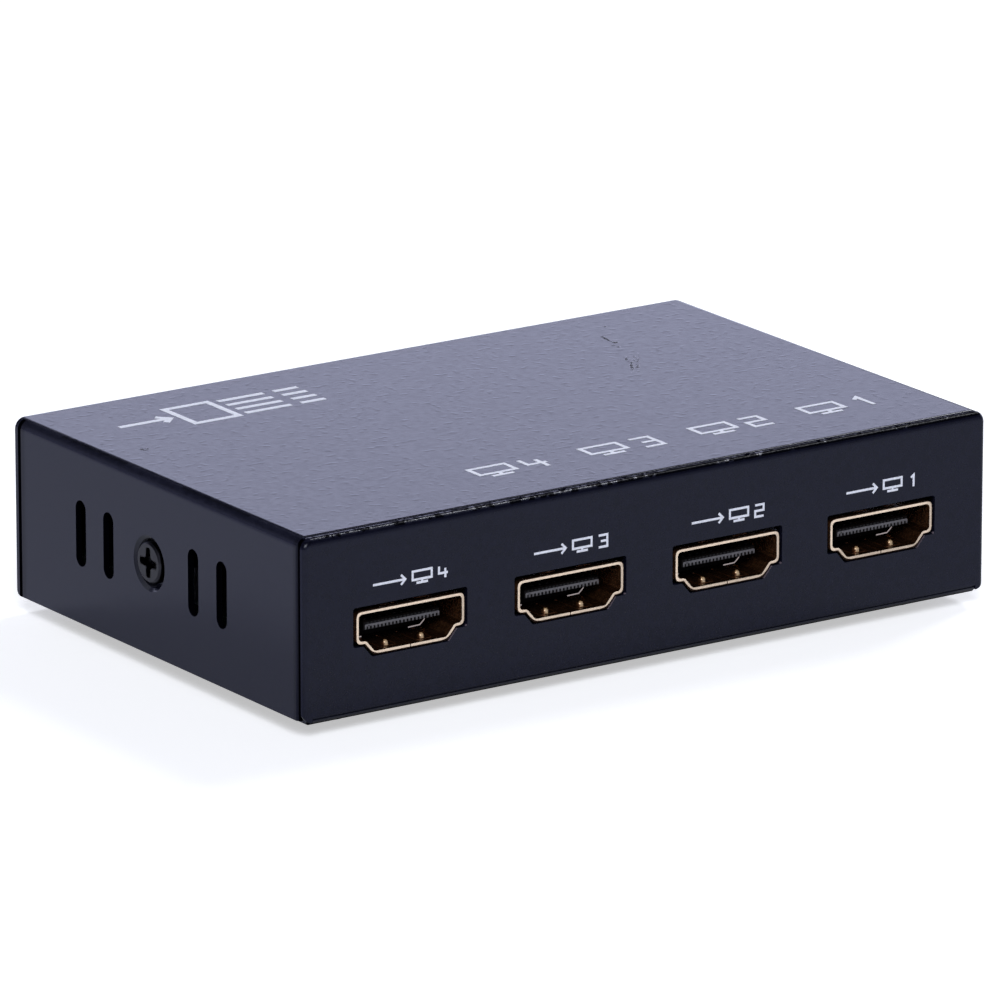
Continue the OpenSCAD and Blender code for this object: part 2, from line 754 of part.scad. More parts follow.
function in_top_row(i) = i % 2 == 0;
function contact_x(i) = (i - (contact_count - 1) / 2) * contact_pitch;
function contact_z(i) = in_top_row(i) ? tongue_top - contact_sink : tongue_floor + contact_sink - contact_t;

// One contact grown by a gap: strip on the tongue, riser behind its nose and tip in its front
module contact_metal(i, gap, front) {
    w = contact_w + 2 * gap;
    low = in_top_row(i) ? tip_floor : contact_z(i);
    high = in_top_row(i) ? contact_z(i) + contact_t : tip_floor + tip_h;
    translate([-w / 2, strip_set - gap, contact_z(i) - gap])
        cube([w, tail_set - strip_set + 2 * gap, contact_t + 2 * gap]);
    translate([-w / 2, strip_set - gap, low - gap]) cube([w, contact_t + 2 * gap, high - low + 2 * gap]);
    translate([-w / 2, front, tip_floor - gap]) cube([w, strip_set + contact_t - front, tip_h + 2 * gap]);
}

module contact_channels() {
    for (i = [0 : contact_count - 1]) translate([contact_x(i), 0, 0])
        contact_metal(i, mould_gap, tongue_set - cut);
}

module tongue() {
    translate([0, 0, tongue_rise]) rotate([90, 0, 90]) linear_extrude(tongue_w, center = true) polygon([
        [tongue_set + tongue_chamfer, -tongue_t / 2], [wall_set + insulator_l / 2, -tongue_t / 2],
        [wall_set + insulator_l / 2, tongue_t / 2], [tongue_set + tongue_chamfer, tongue_t / 2],
        [tongue_set, tongue_t / 2 - tongue_chamfer], [tongue_set, -tongue_t / 2 + tongue_chamfer]
    ]);
}

module socket_insulator() color(black_plastic) difference() {
    union() {
        socket_block(-mould_gap, mouth_r, bend_in_r + shell_t, wall_set, insulator_back);
        tongue();
    }
    contact_channels();
}

module socket_contacts() color(tin) for (i = [0 : contact_count - 1]) translate([contact_x(i), 0, 0]) {
    contact_metal(i, 0, tongue_set + tip_set);
    translate([-contact_w / 2, tail_set, -shell_h / 2]) {
        cube([contact_w, contact_t, contact_z(i) + contact_t + shell_h / 2]);
        cube([contact_w, contact_t + contact_foot, contact_t]);
    }
}

module dc_leaf_room() {
    leaf_low = -dc_bore_d / 2 - dc_tab_t - dc_leaf_gap;
    translate([-dc_tab_w / 2 - dc_leaf_gap, leaf_low, dc_leaf_set - dc_leaf_gap])
        cube([dc_tab_w + 2 * dc_leaf_gap, dc_bore_d / 2, dc_leaf_l + 2 * dc_leaf_gap]);
    translate([-dc_tab_w / 2 - dc_leaf_gap, -dc_axis - cut, dc_leaf_end - dc_tab_t - dc_leaf_gap])
        cube([dc_tab_w + 2 * dc_leaf_gap, dc_axis, dc_tab_t + 2 * dc_leaf_gap]);
}

module dc_jack_housing() color(black_plastic) on_rear(dc_x, dc_axis) difference() {
    union() {
        cylinder(d = dc_nose_d, h = dc_face_set + dc_face / 2);
        translate([-dc_w / 2, -dc_axis, dc_face_set]) cube([dc_w, dc_h, dc_face]);
        translate([-dc_w / 2, -dc_axis, dc_face_set]) cube([dc_w, dc_axis, dc_l]);
        translate([0, 0, dc_face_set]) cylinder(d = dc_barrel_d, h = dc_l);
    }
    translate([0, 0, -cut]) cylinder(d = dc_bore_d, h = dc_bore_l + cut);
    translate([0, 0, dc_bore_l - cut])
        cylinder(d = dc_shank_d + 2 * hold_gap, h = dc_back - dc_bore_l + 2 * cut);
    dc_leaf_room();
}

module dc_jack_pin() color(tin) on_rear(dc_x, dc_axis) {
    straight = dc_pin_set + dc_pin_taper;
    translate([0, 0, dc_pin_set]) cylinder(d1 = dc_pin_d - dc_pin_taper, d2 = dc_pin_d, h = dc_pin_taper);
    translate([0, 0, straight]) cylinder(d = dc_pin_d, h = dc_bore_l - straight + cut);
    translate([0, 0, dc_bore_l]) cylinder(d = dc_shank_d, h = dc_back - dc_bore_l + dc_tab_t / 2);
    translate([-dc_tab_w / 2, -dc_axis - board_t - pin_rest, dc_back])
        cube([dc_tab_w, dc_axis + board_t + pin_rest + dc_tab_w / 2, dc_tab_t]);
}

module dc_jack_spring() color(tin) on_rear(dc_x, dc_axis) {
    leaf_low = -dc_bore_d / 2 - dc_tab_t;
    translate([-dc_tab_w / 2, leaf_low, dc_leaf_set]) cube([dc_tab_w, dc_tab_t, dc_leaf_l]);
    translate([-dc_tab_w / 2, -dc_axis - board_t - pin_rest, dc_leaf_end - dc_tab_t])
        cube([dc_tab_w, dc_axis + board_t + pin_rest + leaf_low + dc_tab_t, dc_tab_t]);
}

module power_light() color("red") on_rear(led_x, led_rise) {
    translate([0, 0, led_d / 2]) sphere(d = led_d);
    translate([0, 0, led_d / 2]) cylinder(d = led_d, h = led_l - led_d / 2 + led_flange_t / 2);
    translate([0, 0, led_l]) cylinder(d = led_d + led_flange, h = led_flange_t);
}

module power_light_leads() color(tin) for (side = [-1, 1]) on_rear(led_x + side * led_pitch / 2, led_rise) {
    translate([-lead_t / 2, -lead_t / 2, led_l + led_flange_t])
        cube([lead_t, lead_t, led_run + lead_t / 2]);
    translate([-lead_t / 2, -led_rise - board_t - pin_rest, led_foot_set - lead_t / 2])
        cube([lead_t, led_rise + board_t + pin_rest + lead_t / 2, lead_t]);
}

// A row of bent leads along X, leaving a body's side towards +Y
module lead_row(count, pitch, h, w, t, foot) {
    for (k = [0 : count - 1]) translate([(k - (count - 1) / 2) * pitch, 0, 0])
        along_x(w) polygon(lead_profile(h, t, foot));
}

module on_board(pos) translate([pos[0], pos[1], board_top]) children();

// A chip's body standing clear of the board by the leads' height
module chip_body(size) {
    translate([-size[0] / 2, -size[1] / 2, chip_rise]) cube([size[0], size[1], size[2]]);
}

module splitter_chip() color(chip_black) on_board(chip_pos) chip_body([chip_w, chip_w, chip_t]);

module splitter_chip_leads() color(tin) on_board(chip_pos) for (turn = [0 : 90 : 270]) rotate([0, 0, turn])
    translate([0, chip_w / 2, 0])
        lead_row(chip_leads, chip_pitch, chip_rise + chip_t / 2, chip_lead_w, chip_lead_t, chip_lead_foot);

module memory_chips() color(chip_black) for (pos = memory_pos) on_board(pos) chip_body(memory_size);

module memory_chip_leads() color(tin) for (pos = memory_pos) on_board(pos) for (turn = [0, 180])
    rotate([0, 0, turn]) translate([0, memory_size[1] / 2, 0])
        lead_row(memory_leads, memory_pitch, chip_rise + memory_size[2] / 2, memory_lead_w, small_lead_t,
            small_lead_foot);

module voltage_regulators() color(chip_black) for (pos = regulator_pos) on_board(pos)
    chip_body(regulator_size);

module regulator_leads() color(tin) for (pos = regulator_pos) on_board(pos) {
    half = regulator_size[1] / 2;
    h = chip_rise + regulator_size[2] / 2;
    translate([0, half, 0]) lead_row(1, 0, h, regulator_tab_w, small_lead_t, small_lead_foot);
    rotate([0, 0, 180]) translate([0, half, 0])
        lead_row(regulator_leads_n, regulator_pitch, h, regulator_lead_w, small_lead_t, small_lead_foot);
}

module capacitor_cans() color(tin) for (pos = cap_pos) on_board(pos) translate([0, 0, cap_base_t]) {
    cylinder(d = cap_d, h = cap_groove_z);
    cylinder(d = cap_d - 2 * cap_groove, h = cap_h - cap_base_t);
    translate([0, 0, cap_groove_z + cap_groove_h])
        cylinder(d = cap_d, h = cap_h - cap_base_t - cap_groove_z - cap_groove_h);
}

module capacitor_bases() color(black_plastic) for (pos = cap_pos) on_board(pos) linear_extrude(cap_base_t) {
    half = cap_base_w / 2;
    polygon([
        [-half, -half], [half, -half], [half, half - cap_chamfer], [half - cap_chamfer, half],
        [-half + cap_chamfer, half], [-half, half - cap_chamfer]
    ]);
}

module crystal() color(tin) on_board(crystal_pos) {
    linear_extrude(crystal_rim_t) obround(crystal_w + 2 * crystal_rim, crystal_l + 2 * crystal_rim);
    linear_extrude(crystal_h) obround(crystal_w, crystal_l);
    for (side = [-1, 1]) translate([0, side * crystal_pin_pitch / 2, -board_t - pin_rest])
        cylinder(d = crystal_pin_d, h = board_t + pin_rest + crystal_rim_t);
}

module input_diode() color(chip_black) on_board(diode_pos) {
    chip_body(diode_size);
    for (side = [-1, 1]) translate([side * diode_size[0] / 2 - diode_end[0], -diode_end[1] / 2, 0])
        cube([2 * diode_end[0], diode_end[1], diode_end[2]]);
}

module surge_arrays() color(chip_black) at_each_socket() for (side = [-1, 1])
    translate([side * array_half_pitch - array_size[0] / 2, array_set, -shell_h / 2]) cube(array_size);

module chip_capacitors() color(ceramic_tan) at_each_socket() for (k = [0 : capacitor_count - 1]) {
    x = (k - (capacitor_count - 1) / 2) * capacitor_pitch;
    translate([x - capacitor_size[0] / 2, capacitor_set, -shell_h / 2]) cube(capacitor_size);
}

module chip_resistors() color(chip_black) on_board(resistor_pos)
    for (i = [0 : resistor_counts[0] - 1]) for (j = [0 : resistor_counts[1] - 1])
        translate([i * resistor_pitch[0], j * resistor_pitch[1], 0]) cube(resistor_size);

top_cover();
base_tray();
cover_screws();
rubber_feet();
board_standoffs();
board_screws();
main_board();
at_output(1) socket_shell();  // output_1_shell
at_output(1) socket_insulator();  // output_1_insulator
at_output(1) socket_contacts();  // output_1_contacts
at_output(2) socket_shell();  // output_2_shell
at_output(2) socket_insulator();  // output_2_insulator
at_output(2) socket_contacts();  // output_2_contacts
at_output(3) socket_shell();  // output_3_shell
at_output(3) socket_insulator();  // output_3_insulator
at_output(3) socket_contacts();  // output_3_contacts
at_output(4) socket_shell();  // output_4_shell
at_output(4) socket_insulator();  // output_4_insulator
at_output(4) socket_contacts();  // output_4_contacts
at_input() socket_shell();  // input_shell
at_input() socket_insulator();  // input_insulator
at_input() socket_contacts();  // input_contacts
dc_jack_housing();
dc_jack_pin();
dc_jack_spring();
power_light();
power_light_leads();
splitter_chip();
splitter_chip_leads();
memory_chips();
memory_chip_leads();
voltage_regulators();
regulator_leads();
capacitor_cans();
capacitor_bases();
crystal();
input_diode();
surge_arrays();
chip_capacitors();
chip_resistors();
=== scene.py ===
"""Looks of a four-output video splitter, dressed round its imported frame.

Lengths are metres in the frame's own axes: X along the front panel, Y to the rear, Z up.
"""

import functools
import json
import math

import bmesh
import bpy
from mathutils import Matrix, Vector


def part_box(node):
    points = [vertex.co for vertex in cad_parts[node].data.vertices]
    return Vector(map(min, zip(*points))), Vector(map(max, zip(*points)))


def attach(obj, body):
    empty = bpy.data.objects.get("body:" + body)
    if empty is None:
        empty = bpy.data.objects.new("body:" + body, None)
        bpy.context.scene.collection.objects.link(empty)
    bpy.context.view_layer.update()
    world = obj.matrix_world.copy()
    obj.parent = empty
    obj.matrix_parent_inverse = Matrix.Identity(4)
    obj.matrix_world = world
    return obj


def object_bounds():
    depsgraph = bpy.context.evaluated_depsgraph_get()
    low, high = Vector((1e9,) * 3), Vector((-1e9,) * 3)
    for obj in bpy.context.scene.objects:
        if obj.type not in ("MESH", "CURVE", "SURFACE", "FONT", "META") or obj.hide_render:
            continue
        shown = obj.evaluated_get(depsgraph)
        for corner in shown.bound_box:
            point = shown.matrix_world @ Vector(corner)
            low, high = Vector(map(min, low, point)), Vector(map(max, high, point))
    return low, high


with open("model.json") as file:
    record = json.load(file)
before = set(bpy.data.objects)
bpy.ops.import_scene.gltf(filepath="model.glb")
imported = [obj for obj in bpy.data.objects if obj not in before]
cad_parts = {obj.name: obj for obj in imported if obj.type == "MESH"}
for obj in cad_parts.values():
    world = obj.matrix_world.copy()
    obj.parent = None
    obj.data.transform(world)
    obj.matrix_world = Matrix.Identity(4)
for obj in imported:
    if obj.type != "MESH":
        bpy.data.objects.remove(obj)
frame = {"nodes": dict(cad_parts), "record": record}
cad_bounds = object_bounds()
nodes = frame["nodes"]

MM = 0.001
ROOT = "root"
SOCKETS = ("output_1", "output_2", "output_3", "output_4", "input")
OUTPUTS = SOCKETS[:4]

# Outer planes of the case, and the height of the sockets' middles
FRONT = cad_bounds[0].y
REAR = cad_bounds[1].y
SIDE = cad_bounds[1].x
TOP = cad_bounds[1].z
SOCKET_Z = sum(corner.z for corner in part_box("output_1_insulator")) / 2

# Camera, fitted to the edges of the case and the rims of the sockets
VIEW_AZIMUTH = math.radians(-34.308)
VIEW_ELEVATION = math.radians(16.195)
VIEW_ROLL = math.radians(0.012)
VIEW_DISTANCE = 1.1913
VIEW_TARGET = Vector((-0.143, 0.0, 13.278)) * MM
SENSOR_WIDTH = 36.0
LENS = 10.1247 * SENSOR_WIDTH


def link(name, data):
    """A new object in the scene."""
    thing = bpy.data.objects.new(name, data)
    bpy.context.scene.collection.objects.link(thing)
    return thing


def add_camera():
    level = math.cos(VIEW_ELEVATION)
    ahead = Vector((-math.sin(VIEW_AZIMUTH), math.cos(VIEW_AZIMUTH), 0.0))
    back = Vector((0, 0, math.sin(VIEW_ELEVATION))) - ahead * level
    right = Vector((0, 0, 1)).cross(back).normalized()
    upright = Matrix((right, back.cross(right), back)).transposed()
    turned = Matrix.Rotation(VIEW_ROLL, 3, back) @ upright
    data = bpy.data.cameras.new("camera")
    data.lens = LENS
    data.sensor_width = SENSOR_WIDTH
    camera = link("camera", data)
    camera.matrix_world = Matrix.Translation(VIEW_TARGET + back * VIEW_DISTANCE) @ turned.to_4x4()
    bpy.context.scene.camera = camera


# Noise mostly lies between these two values
NOISE_LOW = 0.3
NOISE_HIGH = 0.7

# Sizes that measure the distance from a line along X or Z, by making lengths along it count for little
FROM_X_LINE = (1000.0, 1.0, 1.0)
FROM_Z_LINE = (1.0, 1.0, 1000.0)


class Tree:
    """Short calls that add nodes to a node tree."""

    def __init__(self, tree, coordinates):
        self.tree = tree
        self.place = self.add("TexCoord", output=coordinates)

    def feed(self, socket, value):
        """Sets a socket to a value, or links it to another socket."""
        if isinstance(value, bpy.types.NodeSocket):
            self.tree.links.new(value, socket)
        else:
            socket.default_value = value

    def add(self, kind, inputs=(), output=0, **settings):
        """A new node with its settings and inputs, by name or number, and one of its outputs."""
        node = self.tree.nodes.new("ShaderNode" + kind)
        for name, value in settings.items():
            setattr(node, name, value)
        for socket, value in dict(inputs).items():
            self.feed(node.inputs[socket], value)
        return node.outputs[output]

    def axis(self, name, vector=None):
        """One coordinate of the place, or of another vector."""
        return self.add("SeparateXYZ", {0: vector or self.place}, name)

    def math(self, operation, first, second=0.0):
        return self.add("Math", {0: first, 1: second}, operation=operation)

    def minus(self, first, second):
        return self.math("SUBTRACT", first, second)

    def amount(self, value):
        """A value without its sign."""
        return self.math("ABSOLUTE", value)

    def off(self, value, middle):
        """How far a value lies from a middle, to either side."""
        return self.amount(self.minus(value, middle))

    def product(self, *values):
        return functools.reduce(functools.partial(self.math, "MULTIPLY"), values)

    def most(self, *values):
        """The highest of several values."""
        return functools.reduce(functools.partial(self.math, "MAXIMUM"), values)

    def spread(self, value, low, high, to_low=0.0, to_high=1.0):
        """A value stretched from one range to another, and held at the ends."""
        return self.add("MapRange", {0: value, 1: low, 2: high, 3: to_low, 4: to_high})

    def fall(self, value, low, high):
        """One up to a low bound, falling to nought at a high one."""
        return self.spread(value, low, high, 1.0, 0.0)

    def within(self, value, low, high, fade):
        """One where a value lies between two bounds, fading to nought outside them."""
        return self.product(self.spread(value, low - fade, low), self.fall(value, high, high + fade))


class Shader(Tree):
    """A node material round one principled shader."""

    def __init__(self, name, **values):
        self.material = bpy.data.materials.new(name)
        self.material.use_nodes = True
        super().__init__(self.material.node_tree, "Object")
        self.surface = self.tree.nodes["Principled BSDF"]
        for socket, value in values.items():
            self.set(socket.replace("_", " ").title(), value)

    def set(self, socket, value):
        """Sets or links one of the principled shader's sockets."""
        self.feed(self.surface.inputs[socket.replace("Ior", "IOR")], value)

    def noise(self, size, detail=2.0):
        """Soft noise with features about size metres across."""
        return self.add("TexNoise", {"Vector": self.place, "Scale": 1 / size, "Detail": detail})

    def cell_edges(self, size):
        """Distance from the edges of cells about size metres across."""
        inputs = {"Vector": self.place, "Scale": 1 / size}
        return self.add("TexVoronoi", inputs, feature="DISTANCE_TO_EDGE")

    def facing(self, name):
        """One coordinate of the surface's own direction."""
        return self.axis(name, self.add("NewGeometry", output="Normal"))

    def away(self, place, size, turn=0.0):
        """Distance from a place, measured in a turned box of the given sizes."""
        box = {"Vector": self.place, "Location": place, "Rotation": (0, 0, turn), "Scale": size}
        local = self.add("Mapping", box, vector_type="TEXTURE")
        return self.add("VectorMath", {0: local}, "Value", operation="LENGTH")

    def uneven(self, noise, low, high):
        """A value that noise varies between two bounds."""
        return self.spread(noise, NOISE_LOW, NOISE_HIGH, low, high)

    def ramp(self, value, first, second, low=NOISE_LOW, high=NOISE_HIGH):
        """A colour that runs from a first to a second one along a value."""
        node = self.tree.nodes.new("ShaderNodeValToRGB")
        self.feed(node.inputs[0], value)
        for element, position, colour in zip(node.color_ramp.elements, (low, high), (first, second)):
            element.position = position
            element.color = (*colour, 1.0)
        return node.outputs[0]

    def mix(self, share, first, second, kind="RGBA"):
        """Two colours or vectors mixed, the second by its share."""
        node = self.tree.nodes.new("ShaderNodeMix")
        node.data_type = kind
        self.feed(node.inputs["Factor"], share)
        sockets = [socket for socket in node.inputs if socket.type == kind]
        for socket, value in zip(sockets[-2:], (first, second)):
            self.feed(socket, (*value, 1.0) if isinstance(value, tuple) else value)
        return next(socket for socket in node.outputs if socket.type == kind)

    def bump(self, height, depth, strength, under=None):
        """A surface raised by up to depth metres, over another such surface."""
        inputs = {"Height": height, "Distance": depth, "Strength": strength}
        if under is not None:
            inputs["Normal"] = under
        return self.add("Bump", inputs)

    def grain(self, size):
        """The fine grain of plated metal."""
        return self.bump(self.noise(size), 0.004 * MM, 0.4)


def tinted(colour, share):
    return tuple(channel * share for channel in colour)


# Depths from the faces of the case, of its sheet and of the room inside, the height of that room's
# floor, and the width over which most masks fade
SHEET = 0.9 * MM
INSIDE = 1.3 * MM
INNER_FLOOR = 2.8 * MM
FADE = 0.1 * MM

# Middles of the side vents and of the pressed recesses and the height of both, then how far from
# those middles the slots and the recesses' walls reach
VENT_Y = 1.3 * MM
RECESS_Y = 1.6 * MM
VENT_Z = 13.1 * MM
VENT_REACH = (6.0 * MM, 20.0 * MM)
RECESS_WALL = (2.4 * MM, 3.5 * MM)

# Depths of the seams behind the end panels' faces, and of the cover's edges beside them, where shade is
# painted
SEAM_GAP = (0.64 * MM, 1.24 * MM)
SEAM_EDGE = (1.34 * MM, 1.9 * MM)
SEAM_EDGE_FADE = 0.3 * MM

# Front panel's upper edge: its depth from the front, and the depths below the top over which its
# painted shade, its darker painted shade on the crest, the specks where the glint shows through that
# shade, its rolled form and its roughness fade
BROW_DEPTH = 1.1 * MM
BROW_SHADE = (0.7 * MM, 1.0 * MM)
BROW_CREST = (0.34 * MM, 0.42 * MM)
BROW_SPECKS = (0.3 * MM, 0.36 * MM)
BROW_ROLL = (0.0, 1.5 * MM)
BROW_ROUGH = (0.12 * MM, 0.3 * MM)

# Heights over which the painted shade on the front's lower fold fades and between which the openings'
# lower halves lie, and the depth of the painted highlight on their walls
LIP_HEIGHT = (1.8 * MM, 2.2 * MM)
OPENING_HEIGHT = (6.0 * MM, 12.0 * MM)
HIGHLIGHT_DEPTH = 0.3 * MM

# Sizes of the paint's orange peel and of the glint specks on the front's upper edge, of its dimples,
# and of the specks in a scuff
PEEL_SIZE = 0.8 * MM
DIMPLE_SIZE = 0.95 * MM
SPECK_SIZE = 0.5 * MM

# Marks rubbed into the top, in millimetres and degrees: place, length, width and turn
SCUFFS = (
    ((32.6, 25.3), 0.7, 0.6, -34),
    ((29.5, 20.9), 2.2, 0.5, 81),
    ((29.5, 18.9), 1.4, 0.6, 98),
    ((28.6, 17.3), 1.3, 0.6, 91),
    ((26.4, 12.0), 2.4, 0.5, 64),
    ((24.9, 8.8), 4.0, 0.45, 57),
    ((27.1, 11.4), 2.0, 0.35, 57),
    ((26.4, 9.7), 6.2, 0.35, 55),
    ((-42.5, 11.0), 1.2, 0.8, -24),
    ((-42.4, 6.2), 0.9, 0.7, 99),
)

BLACK = (0.0, 0.0, 0.0)
PAINT = (0.0052, 0.0057, 0.0145)
SCUFFED_PAINT = (0.002, 0.002, 0.003)
# Painted highlight on the openings' lower right walls
OPENING_HIGHLIGHT = (0.13, 0.105, 0.13)
# Tint of the paint's reflection, and the bluer painted sheen on the sides
SHEEN = (0.86, 0.89, 1.0)
SIDE_PAINTED_SHEEN = (0.58, 0.61, 1.0)


def side_depth(shader):
    """How deep a point lies behind the nearer side of the case."""
    return shader.minus(SIDE, shader.amount(shader.axis("X")))


def front_depth(shader):
    """How deep a point lies behind the front panel's face."""
    return shader.minus(shader.axis("Y"), FRONT)


def top_depth(shader):
    """How deep a point lies below the top."""
    return shader.minus(TOP, shader.axis("Z"))


def scuff_mask(shader):
    """One where the top is rubbed, nought elsewhere."""
    ragged = shader.spread(shader.noise(0.4 * MM), 0.2, 0.8, -0.4, 0.4)
    spots = []
    for (x, y), length, width, turn in SCUFFS:
        size = (length * MM, width * MM, MM)
        away = shader.away((x * MM, y * MM, TOP), size, math.radians(turn))
        spots.append(shader.fall(shader.math("ADD", away, ragged), 0.3, 0.6))
    specks = shader.spread(shader.noise(SPECK_SIZE, 1.0), 0.46, 0.56)
    return shader.product(shader.most(*spots), specks)


def slot_mask(shader):
    """One on the walls of the vent slots and behind them, where no light reaches."""
    depth = side_depth(shader)
    sheet = shader.fall(depth, SHEET - FADE / 2, SHEET)
    across = shader.fall(shader.amount(shader.facing("X")), 0.3, 0.7)
    reach = shader.within(shader.off(shader.axis("Y"), VENT_Y), *VENT_REACH, 2 * FADE)
    walls = shader.product(sheet, across, reach)
    behind = shader.spread(depth, INSIDE - FADE, INSIDE)
    along = shader.within(shader.axis("Y"), FRONT + INSIDE, REAR - INSIDE, FADE)
    up = shader.within(shader.axis("Z"), INNER_FLOOR, TOP - INSIDE, FADE)
    return shader.most(walls, shader.product(behind, along, up))


def seam_shade_mask(shader):
    """Painted shade: one in the seams between the cover's sides and the end panels, less on the cover's
    edge beside them.
    """
    side = shader.fall(side_depth(shader), SHEET - FADE, SHEET)
    depth = shader.minus(REAR, shader.amount(shader.axis("Y")))
    gap = shader.within(depth, *SEAM_GAP, FADE)
    edge = shader.within(depth, *SEAM_EDGE, SEAM_EDGE_FADE)
    return shader.product(side, shader.most(gap, shader.product(edge, 0.3)))


def lip_shade_mask(shader):
    """Painted shade, highest along the lowest part of the front fold."""
    front = shader.fall(front_depth(shader), INSIDE, INSIDE + FADE)
    return shader.product(front, shader.fall(shader.axis("Z"), *LIP_HEIGHT))


def brow_shade_mask(shader):
    """Painted shade, high on the front panel's rolled upper edge but not on the specks where its glint
    shows through, with fewer specks to the right.
    """
    near = shader.fall(front_depth(shader), BROW_DEPTH, BROW_DEPTH + FADE / 2)
    depth = top_depth(shader)
    shade = shader.spread(depth, *BROW_SHADE, 0.35, 0.0)
    crest = shader.spread(depth, *BROW_CREST, 0.93, 0.0)
    least = shader.spread(shader.axis("X"), -SIDE, 0.4 * SIDE, 0.36, 0.64)
    glint_spots = shader.spread(shader.minus(shader.noise(PEEL_SIZE, 1.0), least), 0.0, 0.05)
    specks = shader.product(glint_spots, shader.fall(depth, *BROW_SPECKS))
    return shader.product(near, shader.most(shade, crest), shader.minus(1.0, specks))


def opening_highlight_mask(shader):
    """Painted highlight: one on the lower right walls of the socket openings, which face up and to the
    left.
    """
    left = shader.fall(shader.facing("X"), -0.6, -0.3)
    up = shader.spread(shader.facing("Z"), 0.3, 0.6)
    front = shader.fall(front_depth(shader), HIGHLIGHT_DEPTH, HIGHLIGHT_DEPTH + FADE)
    low = shader.within(shader.axis("Z"), *OPENING_HEIGHT, FADE)
    return shader.product(left, up, front, low)


def dimple_mask(shader):
    """Small spots on the level top, nought elsewhere."""
    level = shader.spread(shader.facing("Z"), 0.9, 0.99)
    return shader.product(level, shader.spread(shader.noise(DIMPLE_SIZE, 0.0), 0.63, 0.76))


def paint_bumps(shader, dimples, peel, scuffs):
    """Dimples, peel, scuffs, and the front panel's rolled and rough upper edge."""
    normal = shader.bump(dimples, 0.016 * MM, 0.46)
    normal = shader.bump(peel, 0.006 * MM, 0.2, normal)
    normal = shader.bump(scuffs, 0.15 * MM, 0.7, normal)
    near = shader.fall(front_depth(shader), SHEET - FADE / 2, SHEET)
    depth = top_depth(shader)
    rolled = shader.math("POWER", shader.fall(depth, *BROW_ROLL), 2.0)
    normal = shader.bump(shader.minus(1.0, shader.product(near, rolled)), 0.26 * MM, 1.0, normal)
    rough = shader.product(near, shader.fall(depth, *BROW_ROUGH), shader.noise(0.45 * MM, 1.0))
    return shader.bump(rough, 0.03 * MM, 0.9, normal)


def flattened(shader, normal):
    """The normal, with the rear half of each pressed recess's wall turned outwards to look shallow."""
    away = shader.away((0.0, RECESS_Y, VENT_Z), FROM_X_LINE)
    ring = shader.within(away, *RECESS_WALL, FADE)
    rear = shader.spread(shader.axis("Y"), RECESS_Y - 0.8 * MM, RECESS_Y + 0.4 * MM)
    outer = shader.fall(side_depth(shader), 1.1 * MM, 1.15 * MM)
    outwards = shader.add("CombineXYZ", {"X": shader.math("SIGN", shader.axis("X"))})
    turned = shader.mix(shader.product(ring, rear, outer, 0.8), normal, outwards, "VECTOR")
    return shader.add("VectorMath", {0: turned}, operation="NORMALIZE")


def paint_material():
    """Black powder coat: orange peel, dimples and rubbed marks on top, painted shade in gaps and on the
    front's edges, a painted highlight in the openings and a painted sheen on the sides.
    """
    shader = Shader("black_powder_coat", ior=1.35)
    peel = shader.noise(PEEL_SIZE)
    dimples = dimple_mask(shader)
    scuffs = scuff_mask(shader)
    # Painted shade in the vent slots, the seams, the front's lower fold and its rolled upper edge
    dark = shader.most(slot_mask(shader), seam_shade_mask(shader), lip_shade_mask(shader), brow_shade_mask(shader))
    base = shader.ramp(peel, tinted(PAINT, 0.85), tinted(PAINT, 1.15))
    base = shader.mix(scuffs, base, SCUFFED_PAINT)
    # Painted highlight on the openings' lower right walls
    base = shader.mix(opening_highlight_mask(shader), base, OPENING_HIGHLIGHT)
    shader.set("Base Color", shader.mix(dark, base, tinted(PAINT, 0.1)))
    # The sides get a stronger and bluer painted sheen than the other faces
    sides = shader.spread(shader.amount(shader.facing("X")), 0.8, 0.97)
    lit = shader.minus(shader.spread(dimples, 0.0, 1.0, 1.0, 0.82), dark)
    shader.set("Specular IOR Level", shader.product(lit, shader.spread(sides, 0.0, 1.0, 0.5, 0.8)))
    shader.set("Roughness", shader.most(shader.uneven(peel, 0.19, 0.25), shader.product(scuffs, 0.6)))
    shader.set("Normal", flattened(shader, paint_bumps(shader, dimples, peel, scuffs)))
    shader.set("Specular Tint", shader.mix(sides, SHEEN, SIDE_PAINTED_SHEEN))
    return shader.material


# Cover screws: the middle and the depth of their faces, the bounds of the cross and the head's edge
# from that middle, and half the width and length of the cross's arms
SCREW_Y = 1.9 * MM
SCREW_SUNK = 0.05 * MM
CROSS_REACH = 2.0 * MM
HEAD_EDGE = 2.42 * MM
ARM_WIDTH = 0.46 * MM
ARM_LENGTH = 1.65 * MM
ARM_FADE = 0.12 * MM
ZINC = ((0.044, 0.044, 0.053), (0.052, 0.052, 0.062))
# Colour of the painted shade in the screw's cross and round the front of its head
ZINC_SHADE = (0.002, 0.002, 0.003)


